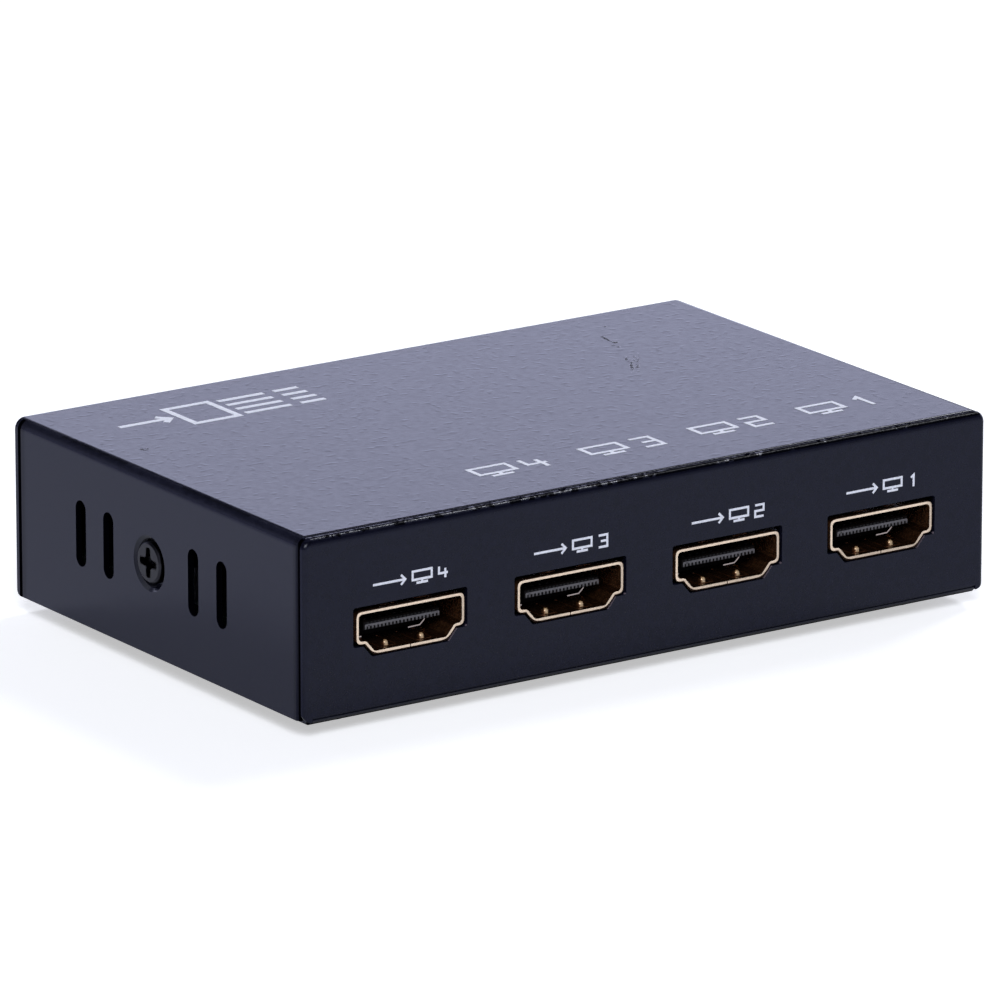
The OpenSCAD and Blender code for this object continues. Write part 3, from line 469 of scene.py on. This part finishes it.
def painted_screw_shade(shader):
    """Painted shade: one in the cross of a cover screw and round the front half of its head's edge."""

    def arm(across, along):
        narrow = shader.fall(across, ARM_WIDTH, ARM_WIDTH + ARM_FADE)
        return shader.product(narrow, shader.fall(along, ARM_LENGTH, ARM_LENGTH + ARM_FADE))

    away = shader.away((0.0, SCREW_Y, VENT_Z), FROM_X_LINE)
    sideways = shader.off(shader.axis("Y"), SCREW_Y)
    upwards = shader.off(shader.axis("Z"), VENT_Z)
    sunk = shader.spread(side_depth(shader), SCREW_SUNK + 0.05 * MM, SCREW_SUNK + 0.08 * MM)
    cross = shader.product(sunk, shader.fall(away, CROSS_REACH, CROSS_REACH + FADE))
    front = shader.fall(shader.axis("Y"), SCREW_Y - 0.8 * MM, SCREW_Y + 0.2 * MM)
    edge = shader.product(shader.spread(away, HEAD_EDGE, HEAD_EDGE + 0.08 * MM), front)
    return shader.most(cross, edge, arm(sideways, upwards), arm(upwards, sideways))


def screw_material():
    """Black zinc, with painted shade in the cross and round the front half of the head's edge."""
    shader = Shader("black_zinc", metallic=1.0, roughness=0.3)
    zinc = shader.ramp(shader.noise(0.5 * MM, 3.0), *ZINC)
    shader.set("Base Color", shader.mix(painted_screw_shade(shader), zinc, ZINC_SHADE))
    shader.set("Normal", shader.grain(0.15 * MM))
    return shader.material


def metal_material(name, colour, roughness):
    """Plated metal with a fine uneven sheen."""
    shader = Shader(name, metallic=1.0)
    shade = shader.noise(0.5 * MM, 3.0)
    shader.set("Base Color", shader.ramp(shade, tinted(colour, 0.88), tinted(colour, 1.04)))
    shader.set("Roughness", shader.uneven(shade, roughness * 0.85, roughness * 1.15))
    shader.set("Normal", shader.grain(0.15 * MM))
    return shader.material


# Spring finger bumps, measured sideways from the socket's middle and inwards from its mouth, and the
# radius over which their painted highlight fades
BUMP_SIDE = 2.45 * MM
BUMP_DEPTH = 1.42 * MM
BUMP_RADIUS = (0.2 * MM, 0.33 * MM)

# Outer edge of a shell's mouth, from the socket's middle: its straight sides, the slanted ones with
# the lean of their direction, and the rounding of the corners
MOUTH_SIDE = 7.45 * MM
MOUTH_TOP = 2.7 * MM
MOUTH_LEDGE = 1.325 * MM
MOUTH_SLANT = 5.634 * MM
MOUTH_LEAN = (0.767, 0.642)
MOUTH_ROUND = 1.05 * MM

# Painted shade on the outer edge of a rim, inwards from the mouth's outer edge, and the depth of the
# rim's face
RIM_INSET = (0.09 * MM, 0.13 * MM)
RIM_DEPTH = (0.004 * MM, 0.03 * MM)

GOLD = (1.0, 0.8, 0.6)
# Painted highlight on the finger bumps, running to painted shade deeper in, then painted shade inside
# the mouth and on the rim's outer edge
BUMP_HIGHLIGHT = (0.62, 0.46, 0.28)
BUMP_SHADE = (0.3, 0.14, 0.045)
MOUTH_SHADE = (0.28, 0.12, 0.055)
RIM_SHADE = (0.02, 0.01, 0.006)


def rim_inset(shader, middle):
    """How far a point of a shell's mouth lies inside the mouth's outer edge."""

    def least(first, second):
        return shader.add("Math", {0: first, 1: second, 2: MOUTH_ROUND}, operation="SMOOTH_MIN")

    across = shader.off(shader.axis("X"), middle)
    up = shader.minus(shader.axis("Z"), SOCKET_Z)
    corner = least(shader.minus(MOUTH_SIDE, across), shader.minus(MOUTH_TOP, up))
    lean = shader.minus(shader.product(across, MOUTH_LEAN[0]), shader.product(up, MOUTH_LEAN[1]))
    slant = least(shader.minus(MOUTH_SLANT, lean), shader.math("ADD", up, MOUTH_TOP))
    ledge = shader.math("ADD", up, MOUTH_LEDGE)
    return shader.most(least(corner, ledge), least(corner, slant))


def rim_light(shader, middle):
    """Share of a rim's light: full above, less below towards the right, and less on its right side."""
    upper = shader.spread(shader.axis("Z"), SOCKET_Z - 2.0 * MM, SOCKET_Z - 1.0 * MM)
    lower = shader.spread(shader.axis("X"), -SIDE, SIDE, 1.0, 0.62)
    right = shader.minus(shader.axis("X"), middle)
    shaded = shader.spread(right, MOUTH_SIDE - 0.9 * MM, MOUTH_SIDE - 0.3 * MM, 1.0, 0.74)
    return shader.product(shader.most(upper, lower), shaded)


def finger_bumps(shader, middle, bump_y):
    """One on the bumps of a socket's two spring fingers."""
    spots = []
    for side in (-1, 1):
        away = shader.away((middle + side * BUMP_SIDE, bump_y, 0.0), FROM_Z_LINE)
        spots.append(shader.fall(away, *BUMP_RADIUS))
    return shader.most(*spots)


def gold_material(socket):
    """Gold plate on the rim's face with painted light and shade there, painted highlights on the finger
    bumps, and painted shade inside the mouth and along the rim's outer edge.
    """
    low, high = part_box(socket + "_shell")
    middle = (low.x + high.x) / 2
    mouth, inwards = (low.y, 1) if socket in OUTPUTS else (high.y, -1)
    shader = Shader(socket + "_gold")
    shade = shader.noise(0.5 * MM, 3.0)
    depth = shader.off(shader.axis("Y"), mouth)
    face = shader.fall(depth, *RIM_DEPTH)
    rim = shader.product(face, shader.spread(rim_inset(shader, middle), *RIM_INSET))
    bumps = finger_bumps(shader, middle, mouth + inwards * BUMP_DEPTH)
    further = shader.spread(depth, BUMP_DEPTH - 0.1 * MM, BUMP_DEPTH + 0.3 * MM)
    lying = shader.spread(shader.facing("Z"), 0.4, 0.8, 0.0, 0.72)
    # Painted shade over the inside of the mouth, darkest on faces that look up, then the bumps' painted
    # highlight and the rim edge's painted shade
    inside = shader.ramp(shade, tinted(MOUTH_SHADE, 0.7), tinted(MOUTH_SHADE, 1.4))
    inside = shader.mix(lying, inside, BLACK)
    inside = shader.mix(bumps, inside, shader.mix(further, BUMP_HIGHLIGHT, BUMP_SHADE))
    inside = shader.mix(shader.minus(face, rim), inside, RIM_SHADE)
    plate = shader.ramp(shade, tinted(GOLD, 0.92), GOLD)
    plate = shader.mix(rim_light(shader, middle), BLACK, plate)
    shader.set("Base Color", shader.mix(rim, inside, plate))
    shader.set("Metallic", shader.spread(shader.most(rim, bumps), 0.0, 1.0, 0.9, 0.2))
    shader.set("Roughness", shader.uneven(shade, 0.22, 0.32))
    shader.set("Normal", shader.grain(0.2 * MM))
    return shader.material


def plastic_material(name, colour, roughness, sheen=0.5):
    """Moulded plastic or epoxy with a fine spark-eroded skin."""
    shader = Shader(name, specular_ior_level=sheen)
    shade = shader.noise(0.25 * MM, 3.0)
    shader.set("Base Color", shader.ramp(shade, tinted(colour, 0.8), tinted(colour, 1.2)))
    shader.set("Roughness", shader.uneven(shade, roughness - 0.06, roughness + 0.06))
    shader.set("Normal", shader.bump(shade, 0.01 * MM, 0.5))
    return shader.material


def board_material():
    """Dark solder mask over tracks."""
    shader = Shader("solder_mask")
    tracks = shader.spread(shader.cell_edges(2.4 * MM), 0.05, 0.09)
    shader.set("Base Color", shader.ramp(tracks, (0.006, 0.016, 0.01), (0.003, 0.008, 0.005), 0.0, 1.0))
    shader.set("Roughness", shader.uneven(shader.noise(0.6 * MM), 0.28, 0.42))
    shader.set("Normal", shader.bump(tracks, 0.02 * MM, 0.5))
    return shader.material


def lens_material():
    """Diffused red lens."""
    shader = Shader("red_lens", roughness=0.22, subsurface_weight=0.4, subsurface_scale=1.0 * MM)
    shade = shader.noise(0.8 * MM)
    shader.set("Base Color", shader.ramp(shade, (0.42, 0.012, 0.012), (0.6, 0.03, 0.025)))
    return shader.material


def ink_material():
    """White screen-printed ink, a little thin in places."""
    shader = Shader("white_ink", roughness=0.5)
    shade = shader.noise(0.35 * MM, 3.0)
    shader.set("Base Color", shader.ramp(shade, (0.66, 0.68, 0.76), (0.8, 0.82, 0.9), 0.25, 0.6))
    shader.set("Normal", shader.bump(shade, 0.01 * MM, 0.4))
    return shader.material


def dress_nodes():
    """Gives each CAD node the material of its slot in the record, or the socket's own."""
    contacts = metal_material("contact_plate", (0.03, 0.03, 0.031), 0.42)
    insulator = plastic_material("insulator_plastic", (0.006, 0.005, 0.005), 0.45, 0.06)
    own = {}
    for socket in SOCKETS:
        own[socket + "_shell"] = gold_material(socket)
        own[socket + "_contacts"] = contacts
        own[socket + "_insulator"] = insulator
    finish = {
        "painted_steel": paint_material(),
        "tin_plate": metal_material("tin_plate", (0.6, 0.6, 0.62), 0.34),
        "black_zinc": screw_material(),
        "black_plastic": plastic_material("black_plastic", (0.01, 0.01, 0.011), 0.45),
        "chip_plastic": plastic_material("chip_plastic", (0.02, 0.02, 0.021), 0.55),
        "rubber": plastic_material("rubber", (0.014, 0.014, 0.014), 0.75),
        "board": board_material(),
        "aluminium_can": metal_material("aluminium_can", (0.78, 0.78, 0.8), 0.28),
        "steel_can": metal_material("steel_can", (0.62, 0.62, 0.64), 0.22),
        "ceramic_chip": plastic_material("ceramic_chip", (0.3, 0.2, 0.11), 0.4),
        "red_lens": lens_material(),
    }
    for part in frame["record"]["subparts"]:
        name = part["node"]
        materials = nodes[name].data.materials
        materials.clear()
        materials.append(own[name] if name in own else finish[part["material_slot"]])


# Rounding of sharp edges: points and faces that count as one, and what counts as sharp
WELD_REACH = 0.0005 * MM
FLAT_ANGLE = math.radians(0.5)
SHARP_ANGLE = math.radians(35)
EDGE_WIDTHS = {"top_cover": 0.15 * MM, "base_tray": 0.08 * MM, "cover_screws": 0.06 * MM}
SHELL_EDGE_WIDTH = 0.1 * MM


def soften(node, width):
    """Rounds a CAD node's sharp edges with modifiers."""
    thing = nodes[node]
    weld = thing.modifiers.new("weld", "WELD")
    weld.merge_threshold = WELD_REACH
    plain = thing.modifiers.new("plain_faces", "DECIMATE")
    plain.decimate_type = "DISSOLVE"
    plain.angle_limit = FLAT_ANGLE
    bevel = thing.modifiers.new("round_edges", "BEVEL")
    bevel.width = width
    bevel.segments = 2
    bevel.limit_method = "ANGLE"
    bevel.angle_limit = SHARP_ANGLE
    bevel.use_clamp_overlap = True
    smooth = thing.modifiers.new("even_normals", "WEIGHTED_NORMAL")
    smooth.weight = 100


def soften_edges():
    for node, width in EDGE_WIDTHS.items():
        soften(node, width)
    for socket in SOCKETS:
        soften(socket + "_shell", SHELL_EDGE_WIDTH)


# Raised lines: the height of a first one, and the share by which each next one stands higher, so
# that no two that cross share a face
LINE_LIFT = 0.015 * MM
LINE_STEP = 0.06

# Strokes of the numerals, in a box one wide and one high
NUMERALS = {
    1: [[(0.3, 0.8), (0.62, 1.0), (0.62, 0.0)]],
    2: [[(0.0, 1.0), (1.0, 1.0), (1.0, 0.5), (0.0, 0.5), (0.0, 0.0), (1.0, 0.0)]],
    3: [[(0.0, 1.0), (1.0, 1.0), (1.0, 0.0), (0.0, 0.0)], [(0.25, 0.5), (1.0, 0.5)]],
    4: [[(0.0, 1.0), (0.0, 0.42), (1.0, 0.42)], [(0.72, 0.8), (0.72, 0.0)]],
}


def stroke_edges(points, width, closed):
    """Left and right edge points of a line of even width, mitred at its corners."""
    points = [Vector(point) for point in points]
    count = len(points)
    edges = []
    for i, point in enumerate(points):
        before = points[i - 1] if closed or i > 0 else None
        after = points[(i + 1) % count] if closed or i < count - 1 else None
        into = (point - before).normalized() if before is not None else (after - point).normalized()
        out = (after - point).normalized() if after is not None else into
        normal_in = Vector((-into.y, into.x))
        normal_out = Vector((-out.y, out.x))
        mitre = (normal_in + normal_out) / (1 + normal_in.dot(normal_out))
        edges.append((point + mitre * width / 2, point - mitre * width / 2))
    return edges


def raised(name, strokes, matrix, material, width):
    """Thin raised lines along strokes, each (points, closed), in a plane that matrix puts in place."""
    mesh = bpy.data.meshes.new(name)
    shape = bmesh.new()
    for order, (points, closed) in enumerate(strokes):
        edges = stroke_edges(points, width, closed)
        corners = [[shape.verts.new((*point, 0.0)) for point in pair] for pair in edges]
        following = corners[1:] + corners[:1] if closed else corners[1:]
        flat = [shape.faces.new((*pair[::-1], *after)) for pair, after in zip(corners, following)]
        lifted = bmesh.ops.extrude_face_region(shape, geom=flat)
        upper = [part for part in lifted["geom"] if isinstance(part, bmesh.types.BMVert)]
        bmesh.ops.translate(shape, verts=upper, vec=(0, 0, LINE_LIFT * (1 + LINE_STEP * order)))
    bmesh.ops.recalc_face_normals(shape, faces=list(shape.faces))
    shape.to_mesh(mesh)
    shape.free()
    mesh.transform(matrix)
    mesh.materials.append(material)
    lines = link(name, mesh)
    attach(lines, ROOT)


def rectangle(left, low, right, high):
    return ([(left, low), (right, low), (right, high), (left, high)], True)


def numeral(number, corner, width, height):
    """Strokes of a numeral whose lower left corner is given."""
    return [
        ([(corner[0] + u * width, corner[1] + v * height) for u, v in line], False)
        for line in NUMERALS[number]
    ]


def screen(corner, width, height):
    """Strokes of a small screen on its stand."""
    left, low = corner
    middle = left + width / 2
    lift = height * 0.28
    foot = width * 0.3
    return [
        rectangle(left, low + lift, left + width, low + height),
        ([(middle, low + lift), (middle, low)], False),
        ([(middle - foot, low), (middle + foot, low)], False),
    ]


def arrow(corner, width, height):
    """Strokes of an arrow that points right."""
    left, low = corner
    middle = low + height / 2
    head = height * 0.42
    tip = left + width
    return [
        ([(left, middle), (tip, middle)], False),
        ([(tip - head, middle + head), (tip, middle), (tip - head, middle - head)], False),
    ]


def upright_plane(y):
    """Matrix from a plane that faces the front, X right and Y up, to the frame."""
    axes = Matrix(((1, 0, 0, 0), (0, 0, -1, 0), (0, 1, 0, 0), (0, 0, 0, 1)))
    return Matrix.Translation((0, y, 0)) @ axes


# Front marks, above each output: widths from left to right, and the gaps between them
MARK_Z = 16.2 * MM
MARK_HEIGHT = 1.4 * MM
MARK_STROKE = 0.28 * MM
ARROW_WIDTH = 4.4 * MM
SCREEN_WIDTH = 2.6 * MM
NUMERAL_WIDTH = 1.2 * MM
MARK_GAP = 1.0 * MM


def print_front_marks(ink):
    row = ARROW_WIDTH + SCREEN_WIDTH + NUMERAL_WIDTH + 2 * MARK_GAP
    for number, socket in enumerate(OUTPUTS, 1):
        low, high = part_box(socket + "_shell")
        left = (low.x + high.x - row) / 2
        strokes = arrow((left, MARK_Z), ARROW_WIDTH, MARK_HEIGHT)
        left += ARROW_WIDTH + MARK_GAP
        strokes += screen((left, MARK_Z), SCREEN_WIDTH, MARK_HEIGHT)
        left += SCREEN_WIDTH + MARK_GAP
        strokes += numeral(number, (left, MARK_Z), NUMERAL_WIDTH, MARK_HEIGHT)
        raised(f"{socket}_mark", strokes, upright_plane(FRONT), ink, MARK_STROKE)


# Sign on the top: its lower left corner and its height, and from left to right an arrow, the sides
# of a box, and the ends of the two dashes in each of four lines
SIGN_CORNER = (-40.0 * MM, 17.0 * MM)
SIGN_HEIGHT = 7.0 * MM
SIGN_STROKE = 0.8 * MM
SIGN_ARROW_WIDTH = 7.0 * MM
SIGN_ARROW_HEIGHT = 3.0 * MM
SIGN_BOX = (8.4 * MM, 14.4 * MM)
SIGN_DASHES = ((15.6 * MM, 22.0 * MM), (23.4 * MM, 26.8 * MM))
DASH_PITCH = 2.0 * MM

# Row of numbered screens on the top: its lower left corner, and the sizes of what repeats
ROW_CORNER = (-16.5 * MM, -21.0 * MM)
ROW_HEIGHT = 3.6 * MM
ROW_STROKE = 0.55 * MM
ROW_PITCH = 15.6 * MM
ROW_SCREEN_WIDTH = 5.0 * MM
ROW_NUMERAL_WIDTH = 2.6 * MM
ROW_GAP = 2.0 * MM


def one_to_four_sign():
    """Strokes of an arrow into a box and four broken lines out of it."""
    left, low = SIGN_CORNER
    arrow_low = low + (SIGN_HEIGHT - SIGN_ARROW_HEIGHT) / 2
    strokes = arrow((left, arrow_low), SIGN_ARROW_WIDTH, SIGN_ARROW_HEIGHT)
    strokes.append(rectangle(left + SIGN_BOX[0], low, left + SIGN_BOX[1], low + SIGN_HEIGHT))
    lines_low = low + (SIGN_HEIGHT - (len(OUTPUTS) - 1) * DASH_PITCH) / 2
    for k in range(len(OUTPUTS)):
        y = lines_low + k * DASH_PITCH
        strokes += [([(left + start, y), (left + end, y)], False) for start, end in SIGN_DASHES]
    return strokes


def screen_row():
    """Strokes of four screens, each with its output's numeral."""
    left, low = ROW_CORNER
    strokes = []
    for number in (4, 3, 2, 1):
        numeral_left = left + ROW_SCREEN_WIDTH + ROW_GAP
        strokes += screen((left, low), ROW_SCREEN_WIDTH, ROW_HEIGHT)
        strokes += numeral(number, (numeral_left, low), ROW_NUMERAL_WIDTH, ROW_HEIGHT)
        left += ROW_PITCH
    return strokes


def print_top_marks(ink):
    """A one-to-four sign at the rear left, and a row of numbered screens along the front."""
    plane = Matrix.Translation((0, 0, TOP))
    raised("top_sign", one_to_four_sign(), plane, ink, SIGN_STROKE)
    raised("top_row", screen_row(), plane, ink, ROW_STROKE)


# Turned edge of the shell before the insulator's wall, on one side of the socket's middle, in
# millimetres, with its depth behind the mouth; a raised gold line along it stands in for the glint on
# that edge
EDGE_LINE = ((3.2, -2.2), (4.8, -2.16), (5.5, -1.55))
EDGE_DEPTH = 5.3 * MM
EDGE_STROKE = 0.13 * MM
EDGE_GOLD = ((0.86, 0.72, 0.54), (0.96, 0.8, 0.6))
# Normal of the glint line, set to face the front so that it always catches the light
GLINT_FACING = {"X": -0.283, "Y": -0.927, "Z": 0.25}

# Contact tips along the front of the tongue, which hang from a bar: heights from the socket's
# middle, how far the bar runs past the first and the last tip, and its end blocks
TIP_DEPTH = 1.9 * MM
TIP_COUNT = 19
TIP_PITCH = 0.5 * MM
TIP_SHIFT = 0.1 * MM
TIP_BAR = 0.22 * MM
TIP_LOW = -0.25 * MM
TIP_STROKE = 0.24 * MM
BAR_LEFT = 0.5 * MM
BAR_RIGHT = 0.55 * MM
BLOCK_INSET = 0.05 * MM
TIP_METAL = ((0.125, 0.12, 0.13), (0.17, 0.165, 0.175))
TIP_SHADE = (0.02, 0.019, 0.02)


def socket_plane(socket, depth):
    """Matrix from a plane across a socket, X right and Y up from its middle, to the frame."""
    low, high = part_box(socket + "_insulator")
    middle = Vector(((low.x + high.x) / 2, 0, SOCKET_Z))
    turn = Matrix() if socket in OUTPUTS else Matrix.Rotation(math.pi, 4, "Z")
    return Matrix.Translation(middle) @ turn @ upright_plane(FRONT + depth)


def edge_glint_material():
    """Gold line that stands in for the glint on a turned edge, its normal set to face the front of the
    socket.
    """
    shader = Shader("edge_glint_gold", metallic=1.0, roughness=0.15)
    shader.set("Base Color", shader.ramp(shader.noise(0.3 * MM), *EDGE_GOLD))
    shader.set("Normal", shader.add("CombineXYZ", GLINT_FACING))
    return shader.material


def tip_material():
    """Dull metal, darker down the contact tips."""
    shader = Shader("tip_metal", roughness=0.5)
    metal = shader.ramp(shader.noise(0.25 * MM, 3.0), *TIP_METAL)
    down = shader.spread(shader.axis("Z"), SOCKET_Z + TIP_LOW, SOCKET_Z + TIP_BAR - 0.1 * MM, 0.7, 0.0)
    shader.set("Base Color", shader.mix(down, metal, TIP_SHADE))
    return shader.material


def add_socket_lines():
    """Contact tips and their bar in each socket, and a line for the glint on the shell's turned edge in
    each output.
    """
    gold = edge_glint_material()
    metal = tip_material()
    first = TIP_SHIFT - (TIP_COUNT - 1) / 2 * TIP_PITCH
    tips = [[(first + k * TIP_PITCH, z) for z in (TIP_BAR, TIP_LOW)] for k in range(TIP_COUNT)]
    left = first - BAR_LEFT
    right = first + (TIP_COUNT - 1) * TIP_PITCH + BAR_RIGHT
    bar = [[(left, TIP_BAR), (right, TIP_BAR)]]
    for x in (left + BLOCK_INSET, right - BLOCK_INSET):
        bar.append([(x, TIP_BAR + BLOCK_INSET), (x, TIP_LOW)])
    edges = [[(side * x * MM, z * MM) for x, z in EDGE_LINE] for side in (-1, 1)]
    for socket in SOCKETS:
        kinds = [
            ("tip_bar", bar, TIP_DEPTH, metal, TIP_STROKE),
            ("contact_tips", tips, TIP_DEPTH, metal, TIP_STROKE),
        ]
        if socket in OUTPUTS:
            kinds.append(("shell_edge_glint", edges, EDGE_DEPTH, gold, EDGE_STROKE))
        for name, lines, depth, material, width in kinds:
            strokes = [(line, False) for line in lines]
            raised(f"{socket}_{name}", strokes, socket_plane(socket, depth), material, width)


# Stage
FLOOR_SIZE = 12.0
FLOOR_COLOURS = ((0.76, 0.77, 0.8), (0.78, 0.79, 0.82))
FLOOR_GLOW = 0.5
WHITE = (1.0, 1.0, 1.0, 1.0)


def floor_material():
    """Pale floor that shows white to the eye and keeps its shadows, and is clear from below."""
    shader = Shader("pale_floor", roughness=0.9)
    shader.set("Base Color", shader.ramp(shader.noise(0.4), *FLOOR_COLOURS))
    seen = shader.add("LightPath", output="Is Camera Ray")
    shader.set("Emission Color", WHITE)
    shader.set("Emission Strength", shader.product(seen, FLOOR_GLOW))
    below = shader.add("NewGeometry", output="Backfacing")
    clear = shader.add("BsdfTransparent")
    mixed = shader.add("MixShader", {0: below, 1: shader.surface.outputs[0], 2: clear})
    shader.feed(shader.tree.nodes["Material Output"].inputs["Surface"], mixed)
    return shader.material


def add_floor():
    mesh = bpy.data.meshes.new("floor")
    half = FLOOR_SIZE / 2
    corners = [(-half, -half, 0), (half, -half, 0), (half, half, 0), (-half, half, 0)]
    mesh.from_pydata(corners, [], [(0, 1, 2, 3)])
    mesh.materials.append(floor_material())
    floor = link("floor", mesh)


# Backdrop: a bright band low behind the object under a dark room. The band is placed by the axes of
# a direction: its top and fade by Z, and its fade to the front by Y and to the left by X, as the
# range and the shares of the band at the range's ends. It has one strength at its foot and one on top.
BAND_TOP = 0.365
BAND_FADE = 0.03
BAND_TO_FRONT = (-0.2, 0.4, 0.25, 1.0)
BAND_TO_LEFT = (-0.4, 0.0, 0.16, 1.0)
BAND_COLOUR = (1.42, 1.47, 2.0, 1.0)
BAND_STRENGTH = (1.2, 0.82)
ROOM_COLOUR = (0.045, 0.047, 0.06, 1.0)


def add_world():
    """White to the camera itself, and the band and the room to all that they light."""
    world = bpy.data.worlds.new("studio")
    world.use_nodes = True
    bpy.context.scene.world = world
    world.node_tree.nodes.clear()
    sky = Tree(world.node_tree, "Generated")
    height = sky.axis("Z")
    low = sky.fall(height, BAND_TOP, BAND_TOP + BAND_FADE)
    behind = sky.spread(sky.axis("Y"), *BAND_TO_FRONT)
    right = sky.spread(sky.axis("X"), *BAND_TO_LEFT)
    strength = sky.spread(height, 0.0, BAND_TOP, *BAND_STRENGTH)
    room = sky.add("Background", {"Color": ROOM_COLOUR})
    band = sky.add("Background", {"Color": BAND_COLOUR, "Strength": strength})
    lights = sky.add("MixShader", {0: sky.product(behind, right, low), 1: room, 2: band})
    white = sky.add("Background", {"Color": WHITE})
    seen = sky.add("LightPath", output="Is Camera Ray")
    shown = sky.add("MixShader", {0: seen, 1: lights, 2: white})
    output = sky.tree.nodes.new("ShaderNodeOutputWorld")
    sky.feed(output.inputs["Surface"], shown)


# Soft square lamps that face the object: place, size and power
LAMPS = {
    "key_lamp": ((-0.9, -1.4, 1.6), 1.2, 40.0),
    "back_lamp": ((1.5, 0.7, 1.6), 0.6, 22.0),
}
LAMP_COLOUR = (0.95, 0.97, 1.0)


def add_lamps():
    for name, (place, size, power) in LAMPS.items():
        data = bpy.data.lights.new(name, "AREA")
        data.shape = "SQUARE"
        data.size = size
        data.energy = power
        data.color = LAMP_COLOUR
        lamp = link(name, data)
        lamp.location = place
        lamp.rotation_euler = (-Vector(place)).to_track_quat("-Z", "Y").to_euler()


white_ink = ink_material()
add_camera()
dress_nodes()
soften_edges()
print_front_marks(white_ink)
print_top_marks(white_ink)
add_socket_lines()
add_floor()
add_world()
add_lamps()
bpy.context.scene.view_settings.view_transform = "Standard"
